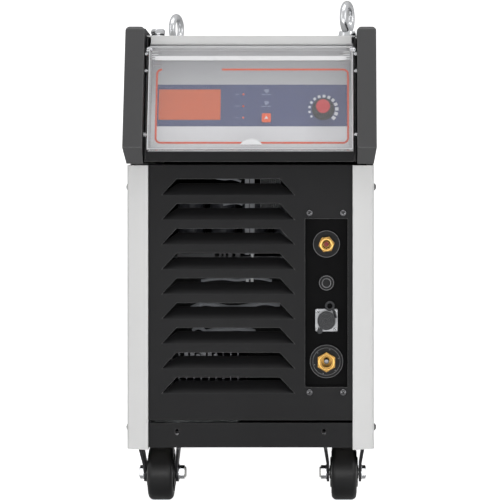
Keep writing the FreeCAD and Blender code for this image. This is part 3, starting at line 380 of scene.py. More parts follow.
LID_CLEAR = clear_plastic("hazy clear lid", linear(250, 250, 251), 0.08, 0.08, 1.30, 0.945)
BOWL_CLEAR = clear_plastic("clear bowl", linear(222, 232, 238), 0.04, 0.08, 1.30, 0.97)

# %% [markdown]
# ## Dress the frame
# Each node of the frame gets one finish. The table reads like a parts list. A node that is drawn again in
# more detail further down is hidden by its replacement, so its finish here is only a fallback.

# %% Finish of every node
WEAR = {
    BLACK_COAT: ["base_tray", "front_panel", "head_sides", "head_sill", "rear_panel"],
    DEEP_BLACK: ["connector_plate"],
    GREY_COAT: ["side_panel_left", "side_panel_right"],
    WHITE_COAT: ["top_cover"],
    GUARD_PLASTIC: ["guard_left", "guard_right"],
    BLACK_PLASTIC: ["torch_flange", "work_flange", "push_button_bezel", "push_button", "dial_knob",
                    "mains_switch", "switch_handle", "cable_gland", "regulator_knob", "fan_frame",
                    "fan_rotor", "power_modules"],
    CAP_RUBBER: ["control_socket_cap"],
    TREAD_RUBBER: ["front_wheel_left", "front_wheel_right", "rear_wheel_left", "rear_wheel_right"],
    KEY_PLASTIC: ["mode_button"],
    DULL_ZINC: ["control_socket"],
    ZINC: ["case_screws", "eye_bolts", "lifting_bolts", "hinge_pins", "caster_plates",
           "front_axle_left", "front_axle_right", "rear_axles", "pressure_gauge"],
    DARK_ZINC: ["front_fork_left", "front_fork_right", "rear_forks"],
    PLAIN_STEEL: ["lifting_bars", "shelf", "potentiometer"],
    BRASS: ["torch_socket", "work_socket", "solenoid_valve"],
    CAST_ALLOY: ["regulator_body", "heat_sink"],
    COPPER: ["main_transformer", "output_inductor"],
    BOARD_GREEN: ["control_board", "inverter_board"],
    CAN_SLEEVE: ["capacitors"],
    LID_CLEAR: ["lid"],
    BOWL_CLEAR: ["regulator_bowl"],
}


def paint(piece, material):
    piece.data.materials.clear()
    piece.data.materials.append(material)


for material, names in WEAR.items():
    for name in names:
        paint(nodes[name], material)
print("dressed", sum(len(names) for names in WEAR.values()), "nodes")

# %% [markdown]
# ## Floor and light
# The machine stands on a pale sweep: a floor that curves up behind it. A large soft lamp above and in front,
# one wide lamp at each side and a white sky give the even light of a product studio, and the wide lamps are
# what the zinc and the folded edges reflect.

# %% Pale sweep
def build_sweep():
    """A floor with a curved rise far behind the machine, as one strip of faces."""
    half, front, back, radius, height = 7.0, -6.0, 5.0, 2.0, 7.0
    profile = [(front, 0.0)]
    steps = 16
    for k in range(steps + 1):
        angle = math.pi / 2 * k / steps
        profile.append((back + radius * math.sin(angle), radius * (1 - math.cos(angle))))
    profile.append((back + radius, height))
    points = [(x, y, z) for y, z in profile for x in (-half, half)]
    faces = [(2 * k, 2 * k + 1, 2 * k + 3, 2 * k + 2) for k in range(len(profile) - 1)]
    mesh = bpy.data.meshes.new("pale_floor")
    mesh.from_pydata(points, [], faces)
    for polygon in mesh.polygons:
        polygon.use_smooth = True
    floor = bpy.data.objects.new("pale_floor", mesh)
    bpy.context.collection.objects.link(floor)
    return floor


FLOOR_PAINT = finish("pale floor", linear(250, 250, 250), linear(247, 247, 247), 0.6, bump=0.02)
floor_shader = FLOOR_PAINT.node_tree.nodes["Principled BSDF"]
floor_shader.inputs["Emission Color"].default_value = (1, 1, 1, 1)
seen = add(FLOOR_PAINT.node_tree, "LightPath").outputs["Is Camera Ray"]
glow = math_node(FLOOR_PAINT.node_tree, "ADD", math_node(FLOOR_PAINT.node_tree, "MULTIPLY", seen, 0.80), 0.16)
join(FLOOR_PAINT.node_tree, glow, floor_shader.inputs["Emission Strength"])
pale_floor = build_sweep()
paint(pale_floor, FLOOR_PAINT)


# %% Lamps
def soft_lamp(name, place, target, size, power):
    data = bpy.data.lights.new(name, "AREA")
    data.shape = "RECTANGLE"
    data.size, data.size_y = size
    data.energy = power
    lamp = bpy.data.objects.new(name, data)
    lamp.location = place
    lamp.rotation_euler = (Vector(target) - Vector(place)).to_track_quat("-Z", "Y").to_euler()
    bpy.context.collection.objects.link(lamp)
    return lamp


MIDDLE = (0.0, 0.0, 0.35)
soft_lamp("top lamp", (0.0, -1.0, 2.8), MIDDLE, (2.2, 1.2), 28)
soft_lamp("left lamp", (-2.4, -1.9, 0.9), MIDDLE, (1.2, 2.0), 9)
soft_lamp("right lamp", (2.4, -1.9, 0.9), MIDDLE, (1.2, 2.0), 13)
soft_lamp("low lamp", (0.0, -1.45, 0.03), (0.0, -0.3, 0.22), (1.8, 0.5), 9.5)
sky = bpy.data.worlds.new("studio sky")
sky.use_nodes = True
sky_light = sky.node_tree.nodes["Background"]
sky_light.inputs["Color"].default_value = (1, 1, 1, 1)
sky_path = add(sky.node_tree, "LightPath").outputs
sky_seen = math_node(sky.node_tree, "MULTIPLY", sky_path["Is Camera Ray"], 0.76)
sky_mirrored = math_node(sky.node_tree, "MULTIPLY", sky_path["Is Glossy Ray"], 0.5)
sky_strength = math_node(sky.node_tree, "ADD", math_node(sky.node_tree, "ADD", sky_seen, sky_mirrored), 0.26)
join(sky.node_tree, sky_strength, sky_light.inputs["Strength"])
bpy.context.scene.world = sky
print("lamps", len(bpy.data.lights))

# %% [markdown]
# ## Helpers for pieces
# Small parts are made as meshes. Three shapes cover most of them: a *lathe* turns a profile about an axis, a
# *slab* gives an outline some thickness in any plane, and a *tube* sweeps a round section along a curve. The
# helper at the bottom names a piece, gives it a finish, and makes it ride on the right body of the frame.

# %% Make a piece
def finish_piece(name, points, faces, material, body, slot, smooth=40):
    """A mesh piece with clean normals; edges sharper than smooth degrees stay crisp."""
    mesh = bpy.data.meshes.new(name)
    mesh.from_pydata([tuple(p) for p in points], [], faces)
    shape = bmesh.new()
    shape.from_mesh(mesh)
    bmesh.ops.remove_doubles(shape, verts=shape.verts, dist=1e-6)
    bmesh.ops.recalc_face_normals(shape, faces=shape.faces)
    for edge in shape.edges:
        edge.smooth = len(edge.link_faces) == 2 and edge.calc_face_angle(0) < math.radians(smooth)
    for face in shape.faces:
        face.smooth = True
    shape.to_mesh(mesh)
    shape.free()
    piece = bpy.data.objects.new(name, mesh)
    bpy.context.collection.objects.link(piece)
    paint(piece, material)
    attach(piece, body)
    return piece


def side_vectors(axis):
    """Two directions square to an axis; the first is as upright as it can be."""
    axis = Vector(axis).normalized()
    guide = Vector((0, 0, 1)) if abs(axis.z) < 0.9 else Vector((0, 1, 0))
    first = (guide - axis * guide.dot(axis)).normalized()
    return first, axis.cross(first)


def lathe_mesh(profile, origin, axis, steps=48, lobes=0, depth=0.0):
    """Points and faces of a turned shape. profile is (radius, distance along the axis) in mm.

    A profile that ends where it starts makes a ring; any other gets flat end caps.
    lobes and depth scallop the rim, as on a fluted knob.
    """
    up, right = side_vectors(axis)
    axis = Vector(axis).normalized()
    points, faces = [], []
    for radius, along in profile:
        for k in range(steps):
            angle = 2 * math.pi * k / steps
            reach = radius
            if lobes and radius > depth:
                reach -= depth * (0.5 + 0.5 * math.cos(lobes * angle))
            ring = up * math.cos(angle) + right * math.sin(angle)
            points.append(Vector(origin) + (axis * along + ring * reach) * MM)
    for row in range(len(profile) - 1):
        for k in range(steps):
            a = row * steps + k
            b = row * steps + (k + 1) % steps
            faces.append((a, b, b + steps, a + steps))
    closed = profile[0] == profile[-1]
    for row, flip in ((0, True), (len(profile) - 1, False)):
        if profile[row][0] > 0.001 and not closed:
            cap = [row * steps + k for k in range(steps)]
            faces.append(cap[::-1] if flip else cap)
    return points, faces


def slab_mesh(outline, origin, across, upward, thickness):
    """Points and faces of an outline in mm, placed in a plane and thickened out of it."""
    across, upward = Vector(across), Vector(upward)
    out = across.cross(upward) * thickness * MM
    flat = [Vector(origin) + (across * x + upward * y) * MM for x, y in outline]
    count = len(flat)
    faces = [tuple(range(count))[::-1], tuple(range(count, 2 * count))]
    faces += [(k, (k + 1) % count, count + (k + 1) % count, count + k) for k in range(count)]
    return flat + [p + out for p in flat], faces


def merge(parts):
    """Join several (points, faces) lists into one."""
    points, faces = [], []
    for part_points, part_faces in parts:
        start = len(points)
        points += list(part_points)
        faces += [tuple(start + k for k in face) for face in part_faces]
    return points, faces


def tube(name, route, radius, material, body, closed=False):
    """A round section of the given radius in mm along a smooth curve through points in metres."""
    data = bpy.data.curves.new(name, "CURVE")
    data.dimensions = "3D"
    data.bevel_depth = radius * MM
    data.bevel_resolution = 3
    data.resolution_u = 8
    data.use_fill_caps = True
    spline = data.splines.new("NURBS")
    spline.points.add(len(route) - 1)
    for point, place in zip(spline.points, route):
        point.co = (*place, 1.0)
    spline.use_cyclic_u = closed
    spline.order_u = 3
    spline.use_endpoint_u = not closed
    piece = bpy.data.objects.new(name, data)
    bpy.context.collection.objects.link(piece)
    data.materials.append(material)
    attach(piece, body)
    return piece


def arc(centre, radius, start, end, steps):
    """Points on a circle, angles in degrees, anticlockwise from the right."""
    turn = [math.radians(start + (end - start) * k / steps) for k in range(steps + 1)]
    return [(centre[0] + radius * math.cos(a), centre[1] + radius * math.sin(a)) for a in turn]


def rounded_box(x0, x1, y0, y1, radius, steps=6):
    """Outline of a rectangle with round corners."""
    return (arc((x1 - radius, y1 - radius), radius, 0, 90, steps)
            + arc((x0 + radius, y1 - radius), radius, 90, 180, steps)
            + arc((x0 + radius, y0 + radius), radius, 180, 270, steps)
            + arc((x1 - radius, y0 + radius), radius, 270, 360, steps))


def centre(name):
    """The middle of a node's box."""
    corner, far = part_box(name)
    return (Vector(corner) + Vector(far)) / 2


# %% [markdown]
# ## The sloped face
# The control panel and the lid lean back. The knob's joint tells how: its axis points straight out of the
# panel. From it come three directions, across, up the slope and out of it, and a point at the lid's foot, so
# that everything printed or mounted on the panel can be placed with plain flat measures.

# %% Directions of the slope
KNOB_ACROSS, KNOB_UP, KNOB_DEPTH = 96.7, 61.0, 20.0
FILM_DEPTH = -24.4
OUT = Vector(joints["knob_turn"]["axis"]).normalized()
ACROSS = Vector((1.0, 0.0, 0.0))
UP = OUT.cross(ACROSS).normalized()
KNOB_PLACE = Vector(joints["knob_turn"]["pos_m"])
FOOT = KNOB_PLACE + OUT * (KNOB_DEPTH * MM) - UP * (KNOB_UP * MM) - ACROSS * (KNOB_ACROSS * MM)


def on_slope(across, upward, out=FILM_DEPTH):
    return FOOT + (ACROSS * across + UP * upward + OUT * out) * MM


def printed(name, outlines, material, slot="film", lift=0.1, thickness=0.08):
    """Ink on the film: flat outlines in slope millimetres."""
    base = on_slope(0, 0, FILM_DEPTH + lift)
    parts = [slab_mesh(outline, base, ACROSS, UP, thickness) for outline in outlines]
    return finish_piece(name, *merge(parts), material, "case", slot)


print("slope leans", round(math.degrees(math.atan2(UP.y, UP.z)), 2), "degrees, foot", tuple(FOOT))

# %% [markdown]
# ## Printed film
# The control film is silver and printed with a blue-grey band, an orange frame line and plain pictograms. A
# gradient along the height paints shade on the silver, darker towards the top, where the top flange and the
# lid shade it. The prints are real thin pieces instead of one picture, which keeps every edge sharp at any
# distance and needs no image.

# %% Film inks
def silver_film_with_painted_shade():
    material = finish("silver film with painted top shade", linear(220, 220, 221), linear(214, 214, 215), 0.42, metal=0.1,
                      bump=0.04, brushed=(500.0, 0.04, 1.0, 1.0), edge_radius=0.0003)
    tree = material.node_tree
    shader = tree.nodes["Principled BSDF"]
    height = add(tree, "SeparateXYZ")
    join(tree, add(tree, "TexCoord").outputs["Object"], height.inputs[0])
    top_shade_fade = add(tree, "MapRange", interpolation_type="SMOOTHSTEP")
    corner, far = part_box("control_film")
    top_shade_fade.inputs["From Min"].default_value = corner[2] + 0.030
    top_shade_fade.inputs["From Max"].default_value = far[2]
    join(tree, height.outputs["Z"], top_shade_fade.inputs["Value"])
    # Painted shade: the silver is mixed towards a darker grey at the top, for the shade under the top flange
    # and lid.
    painted_top_shade = add(tree, "Mix", data_type="RGBA")
    painted_top_shade.inputs[7].default_value = linear(160, 161, 163)
    join(tree, top_shade_fade.outputs[0], painted_top_shade.inputs[0])
    join(tree, shader.inputs["Base Color"].links[0].from_socket, painted_top_shade.inputs[6])
    join(tree, painted_top_shade.outputs[2], shader.inputs["Base Color"])
    return material


SHADED_SILVER_FILM = silver_film_with_painted_shade()
PANEL_GREY = finish("panel grey", linear(206, 206, 207), linear(198, 198, 200), 0.36, metal=0.1, bump=0.08,
                    brushed=(500.0, 0.05, 1.0, 1.0), edge=linear(235, 235, 235))
ORANGE_INK = finish("orange ink", linear(236, 88, 34), linear(228, 78, 26), 0.4, bump=0.03)
BLUE_INK = finish("blue grey ink", linear(58, 68, 112), linear(52, 61, 103), 0.42, bump=0.03)
PALE_INK = finish("pale ink", linear(226, 228, 232), linear(214, 216, 222), 0.45, bump=0.03)
FAINT_INK = finish("faint ink", linear(128, 136, 162), linear(118, 126, 152), 0.45, bump=0.03)
paint(nodes["control_film"], SHADED_SILVER_FILM)
paint(nodes["control_panel"], PANEL_GREY)

# %% Band and frame line
FRAME_X0, FRAME_X1 = -128.5, 131.5
FRAME_LOW, FRAME_HIGH = 13.5, 118.0
LINE = 2.6
CORNER = 8.0


def line_ring(x0, x1, y0, y1, radius, width):
    """A frame line as four bars and four bent corners."""
    bars = [[(x0 + radius, y0), (x1 - radius, y0), (x1 - radius, y0 + width), (x0 + radius, y0 + width)],
            [(x0 + radius, y1 - width), (x1 - radius, y1 - width), (x1 - radius, y1), (x0 + radius, y1)],
            [(x0, y0 + radius), (x0 + width, y0 + radius), (x0 + width, y1 - radius), (x0, y1 - radius)],
            [(x1 - width, y0 + radius), (x1, y0 + radius), (x1, y1 - radius), (x1 - width, y1 - radius)]]
    for middle, turn in (((x1 - radius, y1 - radius), 0), ((x0 + radius, y1 - radius), 90),
                         ((x0 + radius, y0 + radius), 180), ((x1 - radius, y0 + radius), 270)):
        outer = arc(middle, radius, turn, turn + 90, 8)
        inner = arc(middle, radius - width, turn, turn + 90, 8)
        for k in range(8):
            bars.append([outer[k], outer[k + 1], inner[k + 1], inner[k]])
    return bars


BAND_LOW, BAND_HIGH = 37.5, 95.5
printed("print_band", [[(FRAME_X0 + 1, BAND_LOW), (FRAME_X1 - 1, BAND_LOW), (FRAME_X1 - 1, BAND_HIGH),
                        (FRAME_X0 + 1, BAND_HIGH)]], BLUE_INK, lift=0.05)
frame_line = line_ring(FRAME_X0, FRAME_X1, FRAME_LOW, FRAME_HIGH, CORNER, LINE)
TOP_BAR, TOP_START = 1, -40.0
frame_line[TOP_BAR] = [(TOP_START, FRAME_HIGH - LINE), (FRAME_X1 - CORNER, FRAME_HIGH - LINE),
                       (FRAME_X1 - CORNER, FRAME_HIGH), (TOP_START, FRAME_HIGH)]
printed("print_frame_line", frame_line, ORANGE_INK, lift=0.2)
print("printed band and frame line")

# %% [markdown]
# ## Pictograms, lamps and scale
# Plain signs say what the lamps mean: a nozzle over a plate for cutting, short bars beside the lamps, and a
# row of blocks round the knob that grows with the current. They are drawn here as generic outlines.

# %% Pictograms
LAMP_ACROSS = -10.4
LAMP_UPS = (49.5, 65.5, 82.0)
MODE_ACROSS, MODE_UP = 20.7, 49.0


def nozzle_sign(across, upward, size):
    """A cutting nozzle above a plate with a gap: generic sign for cutting."""
    s = size
    nozzle = [(-0.5, 1.0), (0.5, 1.0), (0.5, 0.5), (0.16, 0.12), (-0.16, 0.12), (-0.5, 0.5)]
    jet = [(-0.05, 0.05), (0.05, 0.05), (0.05, -0.42), (-0.05, -0.42)]
    plate_left = [(-1.1, -0.12), (-0.2, -0.12), (-0.2, -0.3), (-1.1, -0.3)]
    plate_right = [(0.2, -0.12), (1.1, -0.12), (1.1, -0.3), (0.2, -0.3)]
    return [[(across + x * s, upward + y * s) for x, y in part]
            for part in (nozzle, jet, plate_left, plate_right)]


def short_bars(across, ups, width, height):
    return [[(across, up - height / 2), (across + width, up - height / 2),
             (across + width, up + height / 2), (across, up + height / 2)] for up in ups]


printed("print_mode_signs", nozzle_sign(MODE_ACROSS, 83.0, 6.2) + nozzle_sign(MODE_ACROSS, 66.5, 6.2),
        FAINT_INK, lift=0.3)
printed("print_lamp_bars", short_bars(LAMP_ACROSS - 11.0, LAMP_UPS, 5.0, 1.0), FAINT_INK, lift=0.3)
arrow = [(MODE_ACROSS - 2.6, MODE_UP - 1.6), (MODE_ACROSS + 2.6, MODE_UP - 1.6), (MODE_ACROSS, MODE_UP + 2.6)]
finish_piece(
    "mode_button_arrow", *slab_mesh(arrow, on_slope(0, 0, -22.0), ACROSS, UP, 0.12), PALE_INK,
    "mode_button", "key_plastic")

# %% Scale round the knob
SCALE_RADIUS = 18.4
SCALE_BLOCKS = 13


def scale_blocks():
    """Blocks from lower left, over the top, to lower right; each a little larger than the last."""
    blocks = []
    for k in range(SCALE_BLOCKS):
        share = k / (SCALE_BLOCKS - 1)
        angle = math.radians(212 - 252 * share)
        along = Vector((math.cos(angle), math.sin(angle)))
        beside = Vector((-along.y, along.x))
        half_width = 1.5 + 0.9 * share
        depth = 2.8 + 2.2 * share
        middle = Vector((KNOB_ACROSS, KNOB_UP)) + along * SCALE_RADIUS
        corners = ((-half_width, -depth / 2), (half_width, -depth / 2), (half_width, depth / 2),
                   (-half_width, depth / 2))
        blocks.append([tuple(middle + beside * b + along * a) for b, a in corners])
    return blocks


printed("print_knob_scale", scale_blocks(), PALE_INK, lift=0.3)
print("scale blocks", SCALE_BLOCKS)

# %% Lamps and display
LAMP_GLOW = finish("lamp lens", linear(242, 104, 44), linear(232, 84, 30), 0.25, bump=0.02, coat=0.5)
lamp_shader = LAMP_GLOW.node_tree.nodes["Principled BSDF"]
lamp_shader.inputs["Emission Color"].default_value = linear(242, 104, 44)
lamp_shader.inputs["Emission Strength"].default_value = 0.08
LENS_PROFILE = [(0.001, 0.8), (0.7, 0.7), (1.1, 0.4), (1.3, 0.1), (1.3, 0.0)]
for number, lamp_up in enumerate(LAMP_UPS):
    lens = lathe_mesh(LENS_PROFILE, on_slope(LAMP_ACROSS, lamp_up), OUT, steps=24)
    finish_piece(f"status_lamp_{number + 1}", *lens, LAMP_GLOW, "case", "display_plastic")


def display_tint():
    """Orange filter over the display, with a faint orange glow."""
    material = finish("orange display filter", linear(198, 88, 30), linear(188, 78, 24), 0.3, bump=0.02,
                      coat=0.4, edge=linear(250, 130, 70), edge_radius=0.0004)
    shader = material.node_tree.nodes["Principled BSDF"]
    shader.inputs["Emission Color"].default_value = linear(236, 104, 40)
    shader.inputs["Emission Strength"].default_value = 0.06
    return material


paint(nodes["display_window"], display_tint())

# %% [markdown]
# ## Current knob
# The knob is moulded in black with a fluted skirt, and a red cap is pressed into its top. It is turned on a
# lathe profile; the flutes come from pulling the rim in and out as the profile goes round. A pale line on
# the grip shows the setting.

# %% Knob
KNOB_FOOT = on_slope(KNOB_ACROSS, KNOB_UP, FILM_DEPTH - 0.1)
SKIRT = [(3.0, 0.2), (14.9, 0.2), (14.9, 3.2), (14.2, 4.4), (12.2, 5.2), (10.8, 6.2)]
GRIP = [(10.6, 6.2), (10.2, 14.4), (9.7, 16.0)]
CAP = [(9.5, 15.6), (9.5, 17.3), (9.1, 18.1), (8.0, 18.45), (0.001, 18.5)]
skirt = lathe_mesh(SKIRT + [(3.0, 6.2)], KNOB_FOOT, OUT, steps=96)
grip = lathe_mesh([(3.0, 6.2)] + GRIP + [(3.0, 16.0)], KNOB_FOOT, OUT, steps=144, lobes=24, depth=0.7)
knob_body = finish_piece("knob_grip", *merge([skirt, grip]), BLACK_PLASTIC, "dial_knob", "knob_plastic")
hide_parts("dial_knob")
finish_piece("knob_cap", *lathe_mesh(CAP, KNOB_FOOT, OUT), RED_PLASTIC, "dial_knob", "knob_plastic")
pointer = [(-0.5, 10.2), (0.5, 10.2), (0.5, 12.6), (-0.5, 12.6)]
finish_piece("knob_pointer", *slab_mesh(pointer, KNOB_FOOT + OUT * 4.7 * MM, ACROSS, UP, 0.5), PALE_INK,
             "dial_knob", "knob_plastic")
print("knob foot", tuple(KNOB_FOOT))

# %% [markdown]
# ## Screws
# Every case screw is a pan head with a cross recess. One function makes a head of any size facing any way: a
# turned crown, and a cross of two thin bars in a near-black that paints the shade in the recess. The same
# heads are used on the socket flange, the connector plate, the side panels and the guards.

# %% Pan heads with a cross
# Painted shade: a near-black for hollows where light does not reach.
RECESS_SHADE = finish("recess shadow", linear(26, 26, 28), linear(16, 16, 18), 0.6, bump=0.05)


def pan_head(seat, out, radius, height):
    """Crown and cross of one screw head, as two (points, faces) lists."""
    profile = [(radius * 0.86, 0.0), (radius, height * 0.12), (radius * 0.98, height * 0.45),
               (radius * 0.8, height * 0.8), (radius * 0.5, height * 0.96), (0.001, height)]
    crown = lathe_mesh(profile, seat, out, steps=32)
    up, right = side_vectors(out)
    turn = 0.45
    first = up * math.cos(turn) + right * math.sin(turn)
    second = Vector(out).normalized().cross(first)
    arms = []
    for long_way, short_way in ((first, second), (second, -first)):
        length, width = radius * 0.5, radius * 0.13
        outline = [(-length, -width), (length, -width), (length, width), (-length, width)]
        start = Vector(seat) + Vector(out) * (height * 0.9) * MM
        arms.append(slab_mesh(outline, start, long_way, short_way, height * 0.16))
    return crown, merge(arms)


BLACK_SCREW = finish("black zinc screw", linear(112, 112, 114), linear(62, 62, 64), 0.24, metal=1.0,
                     bump=0.06, edge=linear(235, 235, 236), edge_radius=0.0009, spread=0.12)


def screw_set(name, places, radius, height, metal, body, hides=()):
    """One piece for all heads of a set and one for their crosses. places is [(seat, out), ...]."""
    heads = [pan_head(Vector(seat), Vector(out).normalized(), radius, height) for seat, out in places]
    crowns = finish_piece(name, *merge([head[0] for head in heads]), metal, body, "zinc")
    finish_piece(name + "_crosses", *merge([head[1] for head in heads]), RECESS_SHADE, body, "zinc")
    for node in hides:
        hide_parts(node)
    return crowns


FRONT = Vector((0.0, -1.0, 0.0))
plate_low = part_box("connector_plate")[0]
panel_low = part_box("front_panel")[0]
window_columns = (0.0788, 0.1236)
window_rows = (0.1567, 0.3959)
front_places = [((x, panel_low[1], z), FRONT) for x in window_columns for z in window_rows]
screw_set("connector_plate_screws", front_places, 4.8, 2.8, BLACK_SCREW, "case", hides=["case_screws"])
side_places = []
SIDE_FACE, SIDE_SCREW_YS, SIDE_SCREW_ZS = 0.165, (-0.265, 0.0, 0.25), (0.107, 0.43)
GUARD_SEAT, GUARD_SCREW_Y, GUARD_SCREW_Z = 0.1645, -0.25, 0.607
for side in (-1, 1):
    facing = Vector((side, 0.0, 0.0))
    wall = side * SIDE_FACE
    side_places += [((wall, y, z), facing) for y in SIDE_SCREW_YS for z in SIDE_SCREW_ZS]
    side_places.append(((side * GUARD_SEAT, GUARD_SCREW_Y, GUARD_SCREW_Z), facing))
screw_set("side_screws", side_places, 4.8, 2.8, BLACK_SCREW, "case")
socket_middle = Vector((0.1013, plate_low[1] + 0.009, 0.252))
socket_places = [((socket_middle.x + dx * 0.012, -0.281, socket_middle.z + dz * 0.012), FRONT)
                 for dx in (-1, 1) for dz in (-1, 1)]
screw_set("control_socket_screws", socket_places, 2.4, 1.6, ZINC, "case")
print("screw sets placed on", len(front_places) + len(side_places) + len(socket_places), "seats")

# %% [markdown]
# ## Sockets on the recessed plate
# The torch connector has a dark red insulated core inside its brass bore. The lower socket has a steel pin
# in the middle of its bore and six small ejector marks round its flange. The control socket's rubber cap
# is kept by a loop of the same rubber that hangs on an upper flange screw.

# %% Torch core and lower socket details
torch = centre("torch_flange")
torch_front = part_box("torch_socket")[0][1]
CORE_SINK, COLLAR_SINK = 0.0045, 0.0030
core_seat = Vector((torch.x, torch_front + CORE_SINK, torch.z))
core_profile = [(3.3, -4.0), (3.3, 0.0), (2.9, 0.5), (1.5, 0.5), (1.5, -1.5), (0.001, -1.5)]
finish_piece("torch_core", *lathe_mesh(core_profile, core_seat, FRONT), CORE_PLASTIC, "case", "black_plastic")
collar_profile = [(3.4, -4.0), (5.4, -4.0), (5.4, 0.0), (4.8, 0.4), (3.4, 0.4), (3.4, -4.0)]
collar_seat = Vector((torch.x, torch_front + COLLAR_SINK, torch.z))
finish_piece("torch_bore_collar", *lathe_mesh(collar_profile, collar_seat, FRONT), BRASS, "case", "brass")


def hex_chamfer(name, node, inner, outer):
    """The turned ring on the face of a brass hexagon, where its corners are cut back."""
    middle, face = centre(node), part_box(node)[0][1]
    seat = Vector((middle.x, face, middle.z))
    profile = [(inner, -0.1), (inner, 0.12), (inner + 0.5, 0.45), (outer - 0.6, 0.45), (outer, 0.1),
               (outer, -0.1), (inner, -0.1)]
    return finish_piece(name, *lathe_mesh(profile, seat, FRONT, steps=64), CHAMFER_HIGHLIGHT_BRASS, "case", "brass")


# Painted highlight: a pale grey for light caught by rounded rims; the ejector marks use it too.
RIM_HIGHLIGHT_GREY = finish("painted rim highlight", linear(120, 120, 122), linear(100, 100, 102), 0.3, bump=0.05)
# Painted highlight: a lighter copy of the turned brass, for the chamfer rings that catch more light.
CHAMFER_HIGHLIGHT_BRASS = finish("brass with painted chamfer highlight", linear(206, 166, 98), linear(176, 136, 74), 0.2, metal=1.0,
                        bump=0.04, edge=linear(250, 224, 168), edge_radius=0.0004)
hex_chamfer("torch_hex_ring", "torch_socket", 5.7, 9.2)
hex_chamfer("work_hex_ring", "work_socket", 8.8, 11.1)

lower = centre("work_flange")
lower_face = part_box("work_flange")[0][1]
bore_end = Vector((lower.x, -0.2702, lower.z))
pin_profile = [(3.6, 0.0), (3.6, 11.5), (3.0, 12.6), (1.2, 12.9), (0.001, 12.9)]
finish_piece("work_socket_pin", *lathe_mesh(pin_profile, bore_end, FRONT), PLAIN_STEEL, "case", "steel")
marks = []
for k in range(6):
    angle = math.radians(60 * k + 15)
    spot = Vector((lower.x + 0.0166 * math.cos(angle), lower_face, lower.z + 0.0166 * math.sin(angle)))
    marks.append(lathe_mesh([(0.001, 0.15), (0.7, 0.12), (0.9, -0.1)], spot, FRONT, steps=16))
finish_piece("work_flange_marks", *merge(marks), RIM_HIGHLIGHT_GREY, "case", "black_plastic")


# %% Bright rims of the flanges
def rim(name, middle, radius, width, face, metal, slot="black_plastic"):
    """A thin pale ring just proud of a flange edge, a painted highlight on the rounded rim."""
    inner = radius - width
    profile = [(inner, 0.0), (inner, 0.35), (radius, 0.35), (radius, 0.0), (inner, 0.0)]
    place = Vector((middle.x, face, middle.z))
    return finish_piece(name, *lathe_mesh(profile, place, FRONT, steps=64), metal, "case", slot)


rim("torch_flange_rim", torch, 17.9, 0.7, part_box("torch_flange")[0][1], RIM_HIGHLIGHT_GREY)
rim("work_flange_rim", lower, 22.2, 0.6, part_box("work_flange")[0][1] + 0.0015, RIM_HIGHLIGHT_GREY)
rim("work_flange_inner_rim", lower, 18.4, 0.5, lower_face, RIM_HIGHLIGHT_GREY)

button_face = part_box("push_button_bezel")[0][1]
rim("button_bezel_rim", centre("push_button_bezel"), 9.9, 0.9, button_face - 0.0001, RIM_HIGHLIGHT_GREY)
dish = centre("push_button")
dish_seat = Vector((dish.x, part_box("push_button")[0][1], dish.z))
dish_profile = [(6.2, -0.2), (6.4, 0.25), (5.9, 0.4), (5.2, 0.1), (5.2, -0.2), (6.2, -0.2)]
finish_piece("push_button_rim", *lathe_mesh(dish_profile, dish_seat, FRONT), RIM_HIGHLIGHT_GREY, "push_button",
             "black_plastic")

# %% Rubber keeper of the socket cap
cap_middle = centre("control_socket")
cap_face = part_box("control_socket_cap")[0][1]
cap_seat = Vector((cap_middle.x, cap_face, cap_middle.z))
ridges = [lathe_mesh([(r - 0.45, -0.1), (r - 0.3, 0.3), (r + 0.3, 0.3), (r + 0.45, -0.1), (r - 0.45, -0.1)],
                     cap_seat, FRONT, steps=56) for r in (3.0, 5.0, 7.0, 9.0, 11.2)]
finish_piece("socket_cap_ridges", *merge(ridges), CAP_RUBBER, "socket_cap", "cap_rubber")
loop_middle = Vector((0.1058, -0.2830, 0.2712))
LOOP_RADIUS, LOOP_STEPS = 0.0052, 14
loop = []
for k in range(LOOP_STEPS):
    angle = 2 * math.pi * k / LOOP_STEPS
    loop.append(loop_middle + Vector((math.cos(angle), 0.0, math.sin(angle))) * LOOP_RADIUS)
tube("socket_cap_loop", loop, 1.6, CAP_RUBBER, "case", closed=True)
strap = [Vector((0.1093, -0.2832, 0.2685)), Vector((0.1112, -0.2838, 0.2640)),
         Vector((0.1128, -0.2846, 0.2595)),
         Vector((0.1142, -0.2850, 0.2555))]
tube("socket_cap_strap", strap, 1.5, CAP_RUBBER, "case")
print("socket details at", tuple(round(v, 4) for v in torch), tuple(round(v, 4) for v in lower))

# %% [markdown]
# ## The clear lid's moulding
# A moulded lid is never a bare sheet. Its rim is thicker and catches light as a bright line on every side, a
# step runs across it near the top, and short ribs stiffen both ends. These are thin opaque strips whose pale
# colour is a painted highlight for where the clear plastic catches light, and they ride on the lid, so they
# swing with it.

# %% Lid rim, step and ribs
# Painted highlight: these pale finishes stand for light caught by the clear lid's rim, step, ribs and grip.
LID_RIM_HIGHLIGHT = finish("painted highlight on lid rim", linear(226, 227, 228), linear(212, 213, 215), 0.22, bump=0.03, coat=0.4,
                 edge=linear(250, 250, 250), edge_radius=0.0005)
LID_STEP_HIGHLIGHT = finish("painted highlight on lid step", linear(232, 232, 233), linear(220, 220, 222), 0.3, bump=0.03, coat=0.3)
LID_HALF, LID_TOP, LID_FACE = 136.3, 142.0, 0.0


def lid_strips(name, strips, material, thickness):
    """Flat strips on the lid's outer face; each is (x0, x1, up0, up1) in slope millimetres."""
    base = on_slope(0, 0, LID_FACE)
    outlines = [[(x0, a), (x1, a), (x1, b), (x0, b)] for x0, x1, a, b in strips]
    return finish_piece(name, *merge([slab_mesh(o, base, ACROSS, UP, thickness) for o in outlines]),
                        material, "lid", "clear_plastic")


